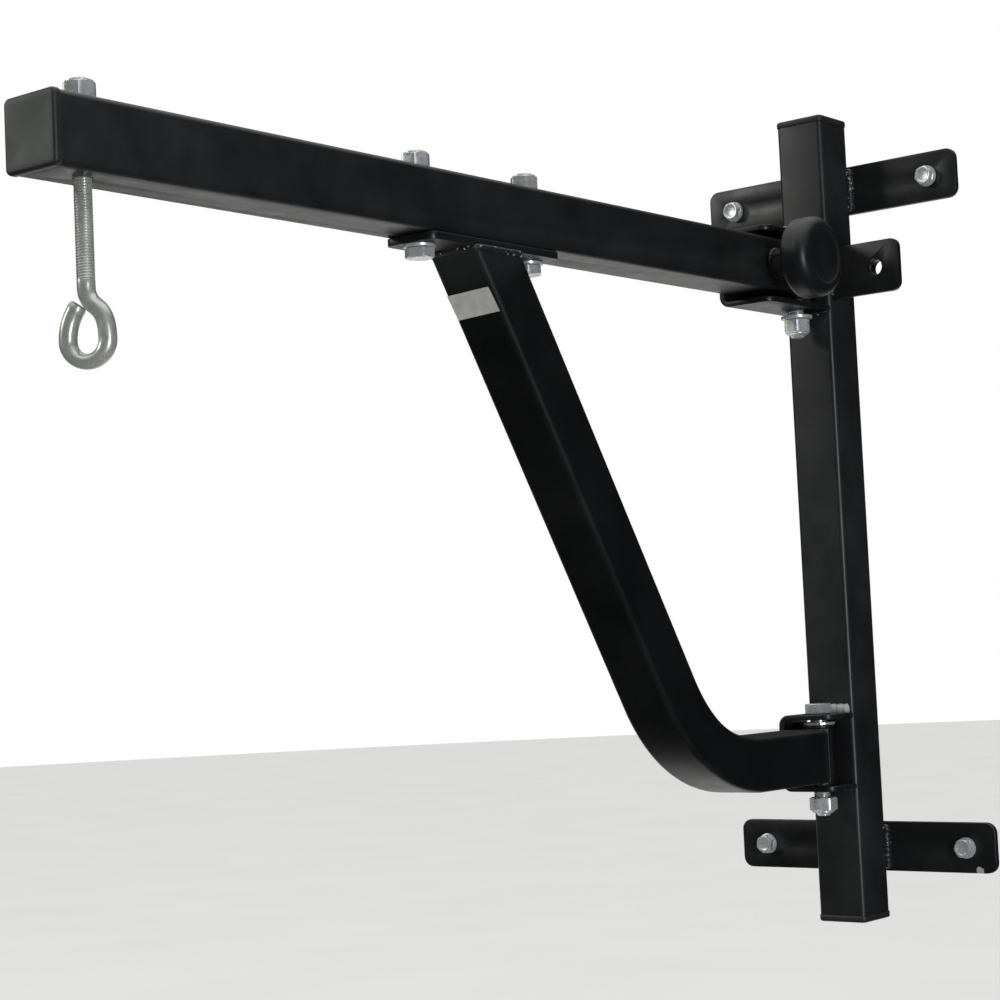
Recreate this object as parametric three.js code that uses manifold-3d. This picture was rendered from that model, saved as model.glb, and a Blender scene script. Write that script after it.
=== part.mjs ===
// Wall-mounted swing-arm bracket for hanging a punch bag.
//
// A square post on two wall plates carries two channel brackets. A horizontal arm and a bent brace, bolted
// together, turn in them about one upright axis. An eye bolt hangs near the arm's free end, and a hand screw
// through the arm locks it to the upper bracket.
//
// Millimetres. X runs right along the wall, Y into the wall, Z up. The origin is the centre of the upper
// wall plate's back face, so the wall is the plane y = 0 and everything stands at negative y.

import * as THREE from "three";
import { mergeVertices } from "three/addons/utils/BufferGeometryUtils.js";
import Module from "manifold-3d";

// ---- Driving dimensions ----

// Square steel tube of the post, the arm and the brace.
const TUBE_SIDE = 40;
const TUBE_WALL = 2.5;
const TUBE_CORNER = 4;

// Space left between two faces that touch.
const FIT_GAP = 0.3;
// Radial clearance of a thread in its nut, and of a pin in its bush.
const RUNNING_GAP = 0.25;
// Radial clearance of a bolt in a drilled hole or a washer.
const HOLE_GAP = 0.5;

// Wall plates: flat bar across the back of the post.
const PLATE_HEIGHT = 38;
const PLATE_THICKNESS = 5;
const PLATE_CORNER = 8;
const PLATE_SPACING = 514;
const ANCHOR_SPACING = 176;
const ANCHOR_EDGE = 24;

// Post tube.
const POST_LENGTH = 613;
const POST_ABOVE_PLATE = 50;

// Hinge line of the arm.
const ARM_DROP = 70;
const PIVOT_OFFSET = 17.5;
const HINGE_SPACING = 367.5;

// Channel brackets welded to the front of the post.
const BRACKET_THICKNESS = 4;
const BRACKET_BEND = 8;
const BRACKET_CORNER = 8;
const LOWER_BRACKET_DEPTH = 35;
const WEB_CLEARANCE = 1;
// Room above and below the hinged tube inside a bracket.
const HINGE_ROOM = 5;

// Bare shank between each bracket and what stands below it on its pivot bolt.
const UPPER_SLACK = 3.5;
const LOWER_SLACK = 5;
const LOWER_NUT_TURN = THREE.MathUtils.degToRad(30);

// Arm.
const ARM_REACH = 757;
const EYE_SETBACK = 29.5;
const BLOCK_DIAMETER = 30;
const BLOCK_NECK = 24;
const BLOCK_PLUG = 22;
const TUBE_START = 21.5;

// Bushes in the two pivot blocks.
const BUSH_WALL = 2.5;
const BUSH_FLANGE = 2;
const BUSH_FLANGE_DIAMETER = 24;
const BUSH_LENGTH = 14;

// Plastic end caps.
const CAP_FLANGE = 5;
const CAP_OVERHANG = 0.5;
const CAP_ROUND = 2;
const CAP_PLUG = 16;
const CAP_WALL = 2.5;

// Lock: hand screw through the arm, and the wing plate that takes it when the arm is stored.
const LOCK_DISTANCE = 58;
const LOCK_EDGE = 10.5;
// Radial play of the lock screw in the bracket's web, loose so that the screw finds its hole.
const LOCK_PLAY = 1.5;
const WING_EDGE = 21;
const WING_HEIGHT = 40;
const WING_CORNER = 7;
const WING_CLEARANCE = 1.5;
const KNOB_DIAMETER = 60;
const KNOB_HEAD = 22.5;
const KNOB_HUB = 4;
const KNOB_HUB_DIAMETER = 26;
const KNOB_EDGE = 5;
const KNOB_DISH = 1.5;
const KNOB_BORE = 15;
const LOCK_BACKED_OFF = 5.25;

// Brace: bent tube under the arm, on a flange bolted to the arm.
const BRACE_TOP_DISTANCE = 387.5;
const BRACE_LEAN = THREE.MathUtils.degToRad(31.8);
const BRACE_BEND = 110;
const FLANGE_THICKNESS = 5;
const FLANGE_CORNER = 6;
const FLANGE_BOLT_SPACING = 108;
const FLANGE_EDGE = 10.5;

// Label on the brace.
const LABEL_WIDTH = 35;
const LABEL_LENGTH = 17.5;
const LABEL_THICKNESS = 0.4;
const LABEL_DISTANCE = 25.5;
const LABEL_ASKEW = THREE.MathUtils.degToRad(3);

// Eye bolt, bent from round bar: below the shank the bar swings out to one side, goes round, and closes in
// from the other side until its end stops short of the shank.
const EYE_RADIUS = 11.3;
const EYE_DROP = 105.8;
const EYE_NECK = 29;
const EYE_NECK_EASE = 15;
const EYE_SIDE_EASE = 22;
const EYE_END = new THREE.Vector2(-4.6, 18.8);
const EYE_END_LEAN = THREE.MathUtils.degToRad(38);
const EYE_END_EASE = 7;
const EYE_TURN = THREE.MathUtils.degToRad(25);

// Metric fasteners.
const M8 = {
  thread: 8,
  acrossFlats: 13,
  head: 5.3,
  washer: 16,
  washerThickness: 1.6,
};
const M10 = {
  thread: 10,
  acrossFlats: 17,
  head: 6.4,
  lockNut: 10,
  washer: 20,
  washerThickness: 2,
};
const M12 = {
  thread: 12,
  acrossFlats: 19,
  head: 7.5,
  nut: 10,
  lockNut: 12,
  washer: 24,
  washerThickness: 2.5,
};
const THREAD_END = 2;

// Facets of round features.
const ROUND = 20;
const FINE_ROUND = 32;
const BEND_STEPS = 14;

// ---- Places that follow from the dimensions ----

const postBack = -(PLATE_THICKNESS + FIT_GAP);
const postFront = postBack - TUBE_SIDE;
const pivotY = postFront - PIVOT_OFFSET;
const halfTube = TUBE_SIDE / 2;
const tubeInside = TUBE_SIDE - 2 * TUBE_WALL;
const plugSide = tubeInside - 2 * FIT_GAP;
const plugCorner = Math.max(TUBE_CORNER - TUBE_WALL, 0.5);
const armEnd = ARM_REACH - PIVOT_OFFSET;
const eyeDistance = armEnd - EYE_SETBACK;
const webOuter = halfTube + WEB_CLEARANCE + BRACKET_THICKNESS;
const bracketInside = halfTube + HINGE_ROOM;
const bracketOutside = bracketInside + BRACKET_THICKNESS;
const upperBracketDepth = PIVOT_OFFSET + LOCK_DISTANCE + LOCK_EDGE;
const plateLength = ANCHOR_SPACING + 2 * ANCHOR_EDGE;
const flangeLength = FLANGE_BOLT_SPACING + 2 * FLANGE_EDGE;
const thrustThickness = HINGE_ROOM - BUSH_FLANGE - 3 * FIT_GAP;
// The brace has no thrust washer below it, and sits lower by about one washer.
const braceSag = thrustThickness - FIT_GAP;

// ---- Materials ----

function paint(color, roughness, metalness) {
  return new THREE.MeshStandardMaterial({ color, roughness, metalness });
}

const powderCoat = paint(0x1b1c1d, 0.55, 0.1);
const blackPlastic = paint(0x121315, 0.45, 0);
const nylon = paint(0xd8d6cc, 0.5, 0);
const zinc = paint(0xb9c0c6, 0.35, 0.9);
const dullZinc = paint(0x8f948c, 0.45, 0.9);
const labelFilm = paint(0xb0b0ab, 0.4, 0);

// ---- Solids ----

const wasm = await Module();
wasm.setup();

function toSolid(geometry) {
  const bare = geometry.clone();
  bare.deleteAttribute("normal");
  bare.deleteAttribute("uv");
  const merged = mergeVertices(bare, 1e-4);
  return new wasm.Manifold(
    new wasm.Mesh({
      numProp: 3,
      vertProperties: merged.attributes.position.array,
      triVerts: new Uint32Array(merged.index.array),
    }),
  );
}

function toGeometry(solid) {
  const mesh = solid.getMesh();
  const geometry = new THREE.BufferGeometry();
  geometry.setAttribute("position", new THREE.BufferAttribute(mesh.vertProperties, 3));
  geometry.setIndex(new THREE.BufferAttribute(mesh.triVerts, 1));
  geometry.computeVertexNormals();
  return geometry;
}

function join(...geometries) {
  return toGeometry(geometries.map(toSolid).reduce((whole, piece) => whole.add(piece)));
}

function cut(geometry, ...tools) {
  return toGeometry(tools.map(toSolid).reduce((rest, tool) => rest.subtract(tool), toSolid(geometry)));
}

function common(first, second) {
  return toGeometry(toSolid(first).intersect(toSolid(second)));
}

// Turns a geometry built along +Z so that it runs along +X or +Y.
function alongX(geometry) {
  return geometry.rotateY(Math.PI / 2);
}

function alongY(geometry) {
  return geometry.rotateX(-Math.PI / 2);
}

function holeFor(size) {
  return size.thread + 2 * HOLE_GAP;
}

// Round bar from z = low to z = high.
function bar(diameter, low, high, facets = ROUND) {
  const cylinder = new THREE.CylinderGeometry(diameter / 2, diameter / 2, high - low, facets);
  return cylinder.rotateX(Math.PI / 2).translate(0, 0, (low + high) / 2);
}

function box(width, depth, height) {
  return new THREE.BoxGeometry(width, depth, height);
}

// Path through flat curves that meet smoothly, each taken in its own number of steps. Straight ones need only
// one. place puts a point of the flat curves into space.
class SteppedPath extends THREE.Curve {
  constructor(curves, place) {
    super();
    this.stretches = [];
    for (const [curve, steps] of curves) {
      for (let i = 0; i < steps; i += 1) {
        this.stretches.push({ curve, from: i / steps, to: (i + 1) / steps });
      }
    }
    this.place = place;
  }

  at(u) {
    const step = Math.min(u * this.stretches.length, this.stretches.length - 1e-9);
    const { curve, from, to } = this.stretches[Math.floor(step)];
    return [curve, THREE.MathUtils.lerp(from, to, step % 1)];
  }

  getPointAt(u, target = new THREE.Vector3()) {
    const [curve, t] = this.at(u);
    return target.set(...this.place(curve.getPoint(t)));
  }

  getTangentAt(u, target = new THREE.Vector3()) {
    const [curve, t] = this.at(u);
    return target.set(...this.place(curve.getTangent(t)));
  }
}

function sweep(outline, path, curveSegments) {
  const steps = path.stretches.length;
  return new THREE.ExtrudeGeometry(outline, { extrudePath: path, steps, curveSegments, bevelEnabled: false });
}

// Solid of revolution about Z. Each point is [radius, z], from the axis round to the axis.
function turned(points, facets = ROUND) {
  const profile = points.map(([radius, z]) => new THREE.Vector2(radius, z));
  return new THREE.LatheGeometry(profile, facets).rotateX(Math.PI / 2);
}

// Rectangle centred on the origin, with one radius for each corner: lower left, lower right, upper right,
// upper left. A radius of 0 is a sharp corner.
function roundedOutline(width, height, radii) {
  const [lowerLeft, lowerRight, upperRight, upperLeft] = radii;
  const x = width / 2;
  const y = height / 2;
  const corners = [
    [lowerLeft, -x + lowerLeft, -y + lowerLeft, Math.PI],
    [lowerRight, x - lowerRight, -y + lowerRight, 1.5 * Math.PI],
    [upperRight, x - upperRight, y - upperRight, 0],
    [upperLeft, -x + upperLeft, y - upperLeft, 0.5 * Math.PI],
  ];
  const shape = new THREE.Shape();
  shape.moveTo(-x, 0);
  shape.lineTo(-x, -y + lowerLeft);
  for (const [radius, centreX, centreY, start] of corners) {
    if (radius > 0) shape.absarc(centreX, centreY, radius, start, start + Math.PI / 2, false);
    else shape.lineTo(centreX, centreY);
  }
  shape.closePath();
  return shape;
}

function roundedSquare(side, radius) {
  return roundedOutline(side, side, [radius, radius, radius, radius]);
}

// Pushes an outline from z = 0 to z = length.
function extrude(shape, length, curveSegments = 2) {
  return new THREE.ExtrudeGeometry(shape, { depth: length, bevelEnabled: false, curveSegments });
}

function tubeOutline() {
  const outline = roundedSquare(TUBE_SIDE, TUBE_CORNER);
  outline.holes.push(roundedSquare(tubeInside, plugCorner));
  return outline;
}

// ---- Fasteners, all built along Z ----

function hexPrism(acrossFlats, height) {
  const corner = acrossFlats / Math.sqrt(3);
  const shape = new THREE.Shape();
  for (let i = 0; i < 6; i += 1) {
    const angle = (i * Math.PI) / 3;
    const x = corner * Math.cos(angle);
    const y = corner * Math.sin(angle);
    if (i === 0) shape.moveTo(x, y);
    else shape.lineTo(x, y);
  }
  shape.closePath();
  return extrude(shape, height);
}

// Hexagon with its corners turned off at the upper end, and at the lower end too where both is set.
function hexagon(acrossFlats, height, both) {
  const wide = acrossFlats / Math.sqrt(3) + FIT_GAP;
  const narrow = 0.47 * acrossFlats;
  const chamfer = (wide - narrow) * Math.tan(Math.PI / 6);
  const lower = both ? [[narrow, 0], [wide, chamfer]] : [[wide, 0]];
  const cutter = turned([[0, 0], ...lower, [wide, height - chamfer], [narrow, height], [0, height]]);
  return common(hexPrism(acrossFlats, height), cutter);
}

// Plain nut, its lower face at z = 0.
function nut(size) {
  const bore = bar(size.thread + 2 * RUNNING_GAP, -1, size.nut + 1);
  return cut(hexagon(size.acrossFlats, size.nut, true), bore);
}

// Self-locking nut: a hexagon below a round collar that holds the nylon ring.
function lockNut(size) {
  const hexHeight = 0.72 * size.lockNut;
  const collar = 0.45 * size.acrossFlats;
  const round = size.lockNut - hexHeight;
  const dome = turned([
    [0, hexHeight - 1],
    [collar, hexHeight - 1],
    [collar, size.lockNut - 0.5 * round],
    [0.85 * collar, size.lockNut],
    [0, size.lockNut],
  ]);
  const body = join(hexagon(size.acrossFlats, hexHeight, true), dome);
  return cut(body, bar(size.thread + 2 * RUNNING_GAP, -1, size.lockNut + 1));
}

function washer(size) {
  const hole = holeFor(size) / 2;
  const outer = size.washer / 2;
  return turned([
    [hole, 0],
    [outer, 0],
    [outer, size.washerThickness],
    [hole, size.washerThickness],
    [hole, 0],
  ]);
}

// Hexagon bolt: the head stands on z = 0 and the shank hangs below it.
function hexBolt(size, length) {
  return join(hexagon(size.acrossFlats, size.head, false), bar(size.thread, -length, 1));
}

// ---- Assembly helpers ----

const bracket = new THREE.Group();

function group(parent, x, y, z) {
  const made = new THREE.Group();
  made.position.set(x, y, z);
  parent.add(made);
  return made;
}

function add(parent, name, geometry, material, x = 0, y = 0, z = 0) {
  const mesh = new THREE.Mesh(geometry, material);
  mesh.name = name;
  mesh.position.set(x, y, z);
  parent.add(mesh);
  return mesh;
}

// Turns a piece that was built pointing up so that it points down.
function flip(mesh) {
  mesh.rotation.x = Math.PI;
  return mesh;
}

// ---- Wall side: plates, anchors, post ----

function wallPlate() {
  const corners = [PLATE_CORNER, PLATE_CORNER, PLATE_CORNER, PLATE_CORNER];
  const blank = extrude(roundedOutline(plateLength, PLATE_HEIGHT, corners), PLATE_THICKNESS);
  const holes = [-1, 1].map((side) =>
    bar(holeFor(M8), -1, PLATE_THICKNESS + 1).translate((side * ANCHOR_SPACING) / 2, 0, 0),
  );
  return cut(blank, ...holes).rotateX(Math.PI / 2);
}

// Wall bolt and washer. The shank is cut off just inside the plate's back face.
function addAnchor(parent, name, x, z) {
  const washerFace = -(PLATE_THICKNESS + FIT_GAP);
  const headFace = washerFace - M8.washerThickness - FIT_GAP;
  const towardsRoom = (geometry) => geometry.rotateX(Math.PI / 2);
  add(parent, `${name}_bolt`, towardsRoom(hexBolt(M8, -headFace - FIT_GAP)), zinc, x, headFace, z);
  add(parent, `${name}_washer`, towardsRoom(washer(M8)), zinc, x, washerFace, z);
}

// Plug of thin walls under a rounded flange, which points up from z = 0.
function endCap() {
  const side = TUBE_SIDE + 2 * CAP_OVERHANG - 2 * CAP_ROUND;
  const shape = roundedSquare(side, Math.max(TUBE_CORNER - CAP_ROUND, 0.5));
  const flange = new THREE.ExtrudeGeometry(shape, {
    depth: CAP_FLANGE - CAP_ROUND,
    bevelEnabled: true,
    bevelThickness: CAP_ROUND,
    bevelSize: CAP_ROUND,
    bevelSegments: 3,
    curveSegments: 2,
  });
  const flatUnder = box(2 * TUBE_SIDE, 2 * TUBE_SIDE, 2 * CAP_ROUND).translate(0, 0, -CAP_ROUND);
  const walls = roundedSquare(plugSide, plugCorner);
  walls.holes.push(roundedSquare(plugSide - 2 * CAP_WALL, plugCorner));
  const plug = extrude(walls, CAP_PLUG + 1).translate(0, 0, -CAP_PLUG);
  return join(cut(flange, flatUnder), plug);
}

// ---- Channel brackets ----

// Channel section, open towards +X, pushed along +Y from 0 to depth.
function channel(depth) {
  const width = webOuter + halfTube;
  const bend = BRACKET_BEND;
  const innerBend = Math.max(bend - BRACKET_THICKNESS, 0.5);
  const outer = roundedOutline(width, 2 * bracketOutside, [bend, 0, 0, bend]);
  const inner = roundedOutline(width, 2 * bracketInside, [innerBend, 0, 0, innerBend]);
  const centreX = halfTube - width / 2;
  const solid = alongY(extrude(outer, depth, 3)).translate(centreX, 0, 0);
  const hollow = alongY(extrude(inner, depth + 2, 3)).translate(centreX + BRACKET_THICKNESS, -1, 0);
  return cut(solid, hollow);
}

// Bracket whose front edge is at y = 0 and whose back edge is at y = depth.
function channelBracket(depth, pivotHoleY) {
  const width = webOuter + halfTube;
  const corner = Math.min(BRACKET_CORNER, width / 3);
  const plan = roundedOutline(width, depth, [0, corner, 0, 0]);
  const trim = extrude(plan, 2 * bracketOutside + 2, 3)
    .translate(halfTube - width / 2, depth / 2, -bracketOutside - 1);
  const hole = bar(holeFor(M12), -2 * bracketOutside, 2 * bracketOutside).translate(0, pivotHoleY, 0);
  return cut(common(channel(depth), trim), hole);
}

function upperBracket() {
  const depth = upperBracketDepth - FIT_GAP;
  const pivotHoleY = upperBracketDepth - PIVOT_OFFSET;
  const drill = bar(M12.thread + 2 * LOCK_PLAY, -2 * TUBE_SIDE, 0);
  const lockHole = alongX(drill).translate(0, pivotHoleY - LOCK_DISTANCE, 0);
  return cut(channelBracket(depth, pivotHoleY), lockHole);
}

function lowerBracket() {
  return channelBracket(LOWER_BRACKET_DEPTH - FIT_GAP, LOWER_BRACKET_DEPTH - PIVOT_OFFSET);
}

function wingPlate() {
  const start = halfTube + FIT_GAP;
  const length = LOCK_DISTANCE + WING_EDGE - start;
  const outline = roundedOutline(length, WING_HEIGHT, [0, WING_CORNER, WING_CORNER, 0]);
  const blank = extrude(outline, BRACKET_THICKNESS).translate(start + length / 2, 0, 0);
  const hole = bar(holeFor(M12), -1, BRACKET_THICKNESS + 1).translate(LOCK_DISTANCE, 0, 0);
  return cut(blank, hole).rotateX(Math.PI / 2);
}

// ---- Hinge pieces ----

// Barrel round the hinge axis with a neck and a square plug, which points along -Y into its tube.
function pivotBlock() {
  const barrel = bar(BLOCK_DIAMETER, -halfTube, halfTube, FINE_ROUND);
  const neckEnd = TUBE_START + BLOCK_PLUG / 2;
  const neck = box(BLOCK_NECK, neckEnd, plugSide).translate(0, -neckEnd / 2, 0);
  const plug = extrude(roundedSquare(plugSide, plugCorner), BLOCK_PLUG)
    .rotateX(Math.PI / 2)
    .translate(0, -TUBE_START - FIT_GAP, 0);
  const bore = bar(bushOuter + 2 * FIT_GAP, -TUBE_SIDE, TUBE_SIDE);
  return cut(join(barrel, neck, plug), bore);
}

const bushInner = M12.thread + 2 * RUNNING_GAP;
const bushOuter = bushInner + 2 * BUSH_WALL;

// Flanged bush that hangs into its block, with its flange on z = 0.
function flangedBush() {
  const inner = bushInner / 2;
  const outer = bushOuter / 2;
  return turned([
    [inner, -BUSH_LENGTH],
    [outer, -BUSH_LENGTH],
    [outer, 0],
    [BUSH_FLANGE_DIAMETER / 2, 0],
    [BUSH_FLANGE_DIAMETER / 2, BUSH_FLANGE],
    [inner, BUSH_FLANGE],
    [inner, -BUSH_LENGTH],
  ]);
}

// Bushes above and below one block, whose middle is at z = 0 of its parent, and thrust washers on them.
function addBushes(parent, name, washerSides) {
  const flangeFace = halfTube + FIT_GAP;
  const washerFace = flangeFace + BUSH_FLANGE + FIT_GAP;
  for (const [side, sign] of [["top", 1], ["bottom", -1]]) {
    const pieces = [add(parent, `${name}_bush_${side}`, flangedBush(), nylon, 0, 0, sign * flangeFace)];
    if (washerSides.includes(side)) {
      const label = `${name}_thrust_washer_${side}`;
      pieces.push(add(parent, label, thrustWasher(), zinc, 0, 0, sign * washerFace));
    }
    if (sign < 0) pieces.forEach(flip);
  }
}

// Fills the room between a bush flange and the bracket when the block stands midway.
function thrustWasher() {
  return washer({ ...M12, washerThickness: thrustThickness });
}

// Pivot bolt through one bracket. Its self-locking nut hangs below, with or without a washer on it.
function addPivotBolt(parent, name, slack, withWasher) {
  const headFace = bracketOutside + FIT_GAP;
  const stackTop = -(bracketOutside + slack);
  const nutTop = withWasher ? stackTop - M12.washerThickness - FIT_GAP : stackTop;
  const length = headFace - nutTop + M12.lockNut + THREAD_END;
  add(parent, `${name}_bolt`, hexBolt(M12, length), zinc, 0, 0, headFace);
  if (withWasher) flip(add(parent, `${name}_washer`, washer(M12), zinc, 0, 0, stackTop));
  return flip(add(parent, `${name}_nut`, lockNut(M12), zinc, 0, 0, nutTop));
}

// ---- Arm ----

const flangeBolts = [1, -1].map((side) => BRACE_TOP_DISTANCE + (side * FLANGE_BOLT_SPACING) / 2);

function armTube() {
  const length = armEnd - TUBE_START;
  const tube = extrude(tubeOutline(), length).rotateX(Math.PI / 2).translate(0, -TUBE_START, 0);
  const upright = (diameter, distance) =>
    bar(diameter, -TUBE_SIDE, TUBE_SIDE).translate(0, -distance, 0);
  const lock = alongX(bar(holeFor(M12), -TUBE_SIDE, TUBE_SIDE)).translate(0, -LOCK_DISTANCE, 0);
  const bolts = flangeBolts.map((distance) => upright(holeFor(M10), distance));
  return cut(tube, lock, ...bolts, upright(holeFor(M10), eyeDistance));
}

// ---- Brace ----

// The brace's centre line lies in the plane x = 0 of the hinge frame, and its flat curves hold [y, z]: a
// leaning run, one bend, and a level run back to the hinge.
const flangeUnderside = -(halfTube + FIT_GAP + FLANGE_THICKNESS);
const braceAxisZ = -(HINGE_SPACING + braceSag);
const leanDirection = new THREE.Vector2(Math.sin(BRACE_LEAN), -Math.cos(BRACE_LEAN));
const leanNormal = new THREE.Vector2(-Math.cos(BRACE_LEAN), -Math.sin(BRACE_LEAN));
const braceTop = new THREE.Vector2(-BRACE_TOP_DISTANCE, flangeUnderside);
const bendTangent = BRACE_BEND * Math.tan((Math.PI / 2 - BRACE_LEAN) / 2);

function along(point, direction, distance) {
  return point.clone().addScaledVector(direction, distance);
}

function bracePath() {
  const leanLength = (flangeUnderside - braceAxisZ) / Math.cos(BRACE_LEAN);
  const start = along(braceTop, leanDirection, -TUBE_SIDE);
  const bendStart = along(braceTop, leanDirection, leanLength - bendTangent);
  const centre = along(bendStart, leanNormal, -BRACE_BEND);
  const bendEnd = new THREE.Vector2(centre.x, braceAxisZ);
  const end = new THREE.Vector2(-TUBE_START, braceAxisZ);
  const bend = new THREE.EllipseCurve(
    centre.x, centre.y, BRACE_BEND, BRACE_BEND, Math.PI + BRACE_LEAN, 1.5 * Math.PI, false,
  );
  const curves = [
    [new THREE.LineCurve(start, bendStart), 1],
    [bend, BEND_STEPS],
    [new THREE.LineCurve(bendEnd, end), 1],
  ];
  return new SteppedPath(curves, (point) => [0, point.x, point.y]);
}

function braceTube() {
  const above = box(3 * TUBE_SIDE, 6 * TUBE_SIDE, 4 * TUBE_SIDE)
    .translate(0, -BRACE_TOP_DISTANCE, flangeUnderside - FIT_GAP + 2 * TUBE_SIDE);
  return cut(sweep(tubeOutline(), bracePath(), 2), above);
}

function braceFlange() {
  const corner = FLANGE_CORNER;
  const outline = roundedOutline(TUBE_SIDE, flangeLength, [corner, corner, corner, corner]);
  const plate = extrude(outline, FLANGE_THICKNESS).translate(0, -BRACE_TOP_DISTANCE, 0);
  const holes = flangeBolts.map((distance) =>
    bar(holeFor(M10), -1, FLANGE_THICKNESS + 1).translate(0, -distance, 0),
  );
  return cut(plate, ...holes);
}

// Bolt up through the flange and the arm, with washers at both ends and a self-locking nut on top.
function addFlangeBolt(parent, index, distance) {
  const name = `brace_bolt_${index}`;
  const headWasher = flangeUnderside - FIT_GAP;
  const headFace = headWasher - M10.washerThickness - FIT_GAP;
  const nutWasher = halfTube + FIT_GAP;
  const nutFace = nutWasher + M10.washerThickness + FIT_GAP;
  const length = nutFace + M10.lockNut + THREAD_END / 2 - headFace;
  flip(add(parent, name, hexBolt(M10, length), zinc, 0, -distance, headFace));
  flip(add(parent, `${name}_washer_lower`, washer(M10), zinc, 0, -distance, headWasher));
  add(parent, `${name}_washer_upper`, washer(M10), zinc, 0, -distance, nutWasher);
  add(parent, `${name}_nut`, lockNut(M10), zinc, 0, -distance, nutFace);
}

// Thin sticker on the brace's front face, a set distance down from the flange and slightly askew.
function addLabel(parent) {
  const centre = along(braceTop, leanDirection, LABEL_DISTANCE);
  const face = along(centre, leanNormal, halfTube + FIT_GAP);
  const sheet = extrude(roundedOutline(LABEL_WIDTH, LABEL_LENGTH, [1, 1, 1, 1]), LABEL_THICKNESS);
  sheet.rotateZ(LABEL_ASKEW);
  const label = add(parent, "brace_label", sheet, labelFilm, 0, face.x, face.y);
  label.rotation.x = Math.PI / 2 + BRACE_LEAN;
}

// ---- Eye bolt ----

// The bar's centre line in the plane y = 0. The shank lies on the Z axis and the eye's middle is at z = 0.
function eyePath(top) {
  const neckStart = new THREE.Vector2(0, EYE_NECK);
  const right = new THREE.Vector2(EYE_RADIUS, 0);
  const left = new THREE.Vector2(-EYE_RADIUS, 0);
  const endDirection = new THREE.Vector2(Math.sin(EYE_END_LEAN), Math.cos(EYE_END_LEAN));
  const neck = new THREE.CubicBezierCurve(
    neckStart,
    new THREE.Vector2(0, EYE_NECK - EYE_NECK_EASE),
    new THREE.Vector2(EYE_RADIUS, EYE_SIDE_EASE),
    right,
  );
  const closing = new THREE.CubicBezierCurve(
    left,
    new THREE.Vector2(-EYE_RADIUS, EYE_END_EASE),
    along(EYE_END, endDirection, -EYE_END_EASE),
    EYE_END,
  );
  const curves = [
    [new THREE.LineCurve(new THREE.Vector2(0, top), neckStart), 1],
    [neck, 8],
    [new THREE.EllipseCurve(0, 0, EYE_RADIUS, EYE_RADIUS, 0, Math.PI, true), 12],
    [closing, 5],
  ];
  return new SteppedPath(curves, (point) => [point.x, 0, point.y]);
}

function addEye(parent) {
  const washerFace = halfTube + FIT_GAP;
  const nutFace = washerFace + M10.washerThickness + FIT_GAP;
  const top = EYE_DROP + nutFace + M10.lockNut + THREAD_END / 2;
  const section = new THREE.Shape().absarc(0, 0, M10.thread / 2, 0, 2 * Math.PI, false);
  const eye = add(parent, "eye_bolt", sweep(section, eyePath(top), 8), dullZinc, 0, -eyeDistance, -EYE_DROP);
  eye.rotation.z = EYE_TURN;
  add(parent, "eye_washer", washer(M10), zinc, 0, -eyeDistance, washerFace);
  add(parent, "eye_nut", lockNut(M10), dullZinc, 0, -eyeDistance, nutFace);
}

// ---- Lock screw, built along Z and turned along X ----

const weldNutFace = halfTube + FIT_GAP;
const hubFace = weldNutFace + M12.nut + FIT_GAP + LOCK_BACKED_OFF;
const screwTip = -(halfTube - 0.5);

// Round knob with its hub on z = 0 and its face outwards.
function knob() {
  const radius = KNOB_DIAMETER / 2;
  const bore = M12.thread / 2 + FIT_GAP;
  const top = KNOB_HUB + KNOB_HEAD;
  const points = [[0, KNOB_BORE], [bore, KNOB_BORE], [bore, 0], [KNOB_HUB_DIAMETER / 2, 0]];
  points.push([KNOB_HUB_DIAMETER / 2, KNOB_HUB]);
  const steps = 4;
  for (const [centreZ, from] of [[KNOB_HUB + KNOB_EDGE, -Math.PI / 2], [top - KNOB_EDGE, 0]]) {
    for (let i = 0; i <= steps; i += 1) {
      const angle = from + (i * Math.PI) / 2 / steps;
      points.push([radius - KNOB_EDGE + KNOB_EDGE * Math.cos(angle), centreZ + KNOB_EDGE * Math.sin(angle)]);
    }
  }
  points.push([0.6 * radius, top - KNOB_DISH], [0, top - KNOB_DISH]);
  return turned(points, FINE_ROUND);
}

function addLock(parent) {
  const y = -LOCK_DISTANCE;
  const screwEnd = hubFace + KNOB_BORE - FIT_GAP;
  add(parent, "lock_weld_nut", alongX(nut(M12)), powderCoat, weldNutFace, y, 0);
  add(parent, "lock_screw", alongX(bar(M12.thread, screwTip, screwEnd)), zinc, 0, y, 0);
  add(parent, "lock_knob", alongX(knob()), blackPlastic, hubFace, y, 0);
}

// ---- The whole bracket ----

for (const [name, z] of [["upper", 0], ["lower", -PLATE_SPACING]]) {
  add(bracket, `wall_plate_${name}`, wallPlate(), powderCoat, 0, 0, z);
  addAnchor(bracket, `anchor_${name}_left`, -ANCHOR_SPACING / 2, z);
  addAnchor(bracket, `anchor_${name}_right`, ANCHOR_SPACING / 2, z);
}

const post = group(bracket, 0, postFront + halfTube, POST_ABOVE_PLATE - POST_LENGTH);
add(post, "wall_post", extrude(tubeOutline(), POST_LENGTH), powderCoat);
add(post, "post_cap_top", endCap(), blackPlastic, 0, 0, POST_LENGTH + FIT_GAP);
flip(add(post, "post_cap_bottom", endCap(), blackPlastic, 0, 0, -FIT_GAP));

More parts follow.
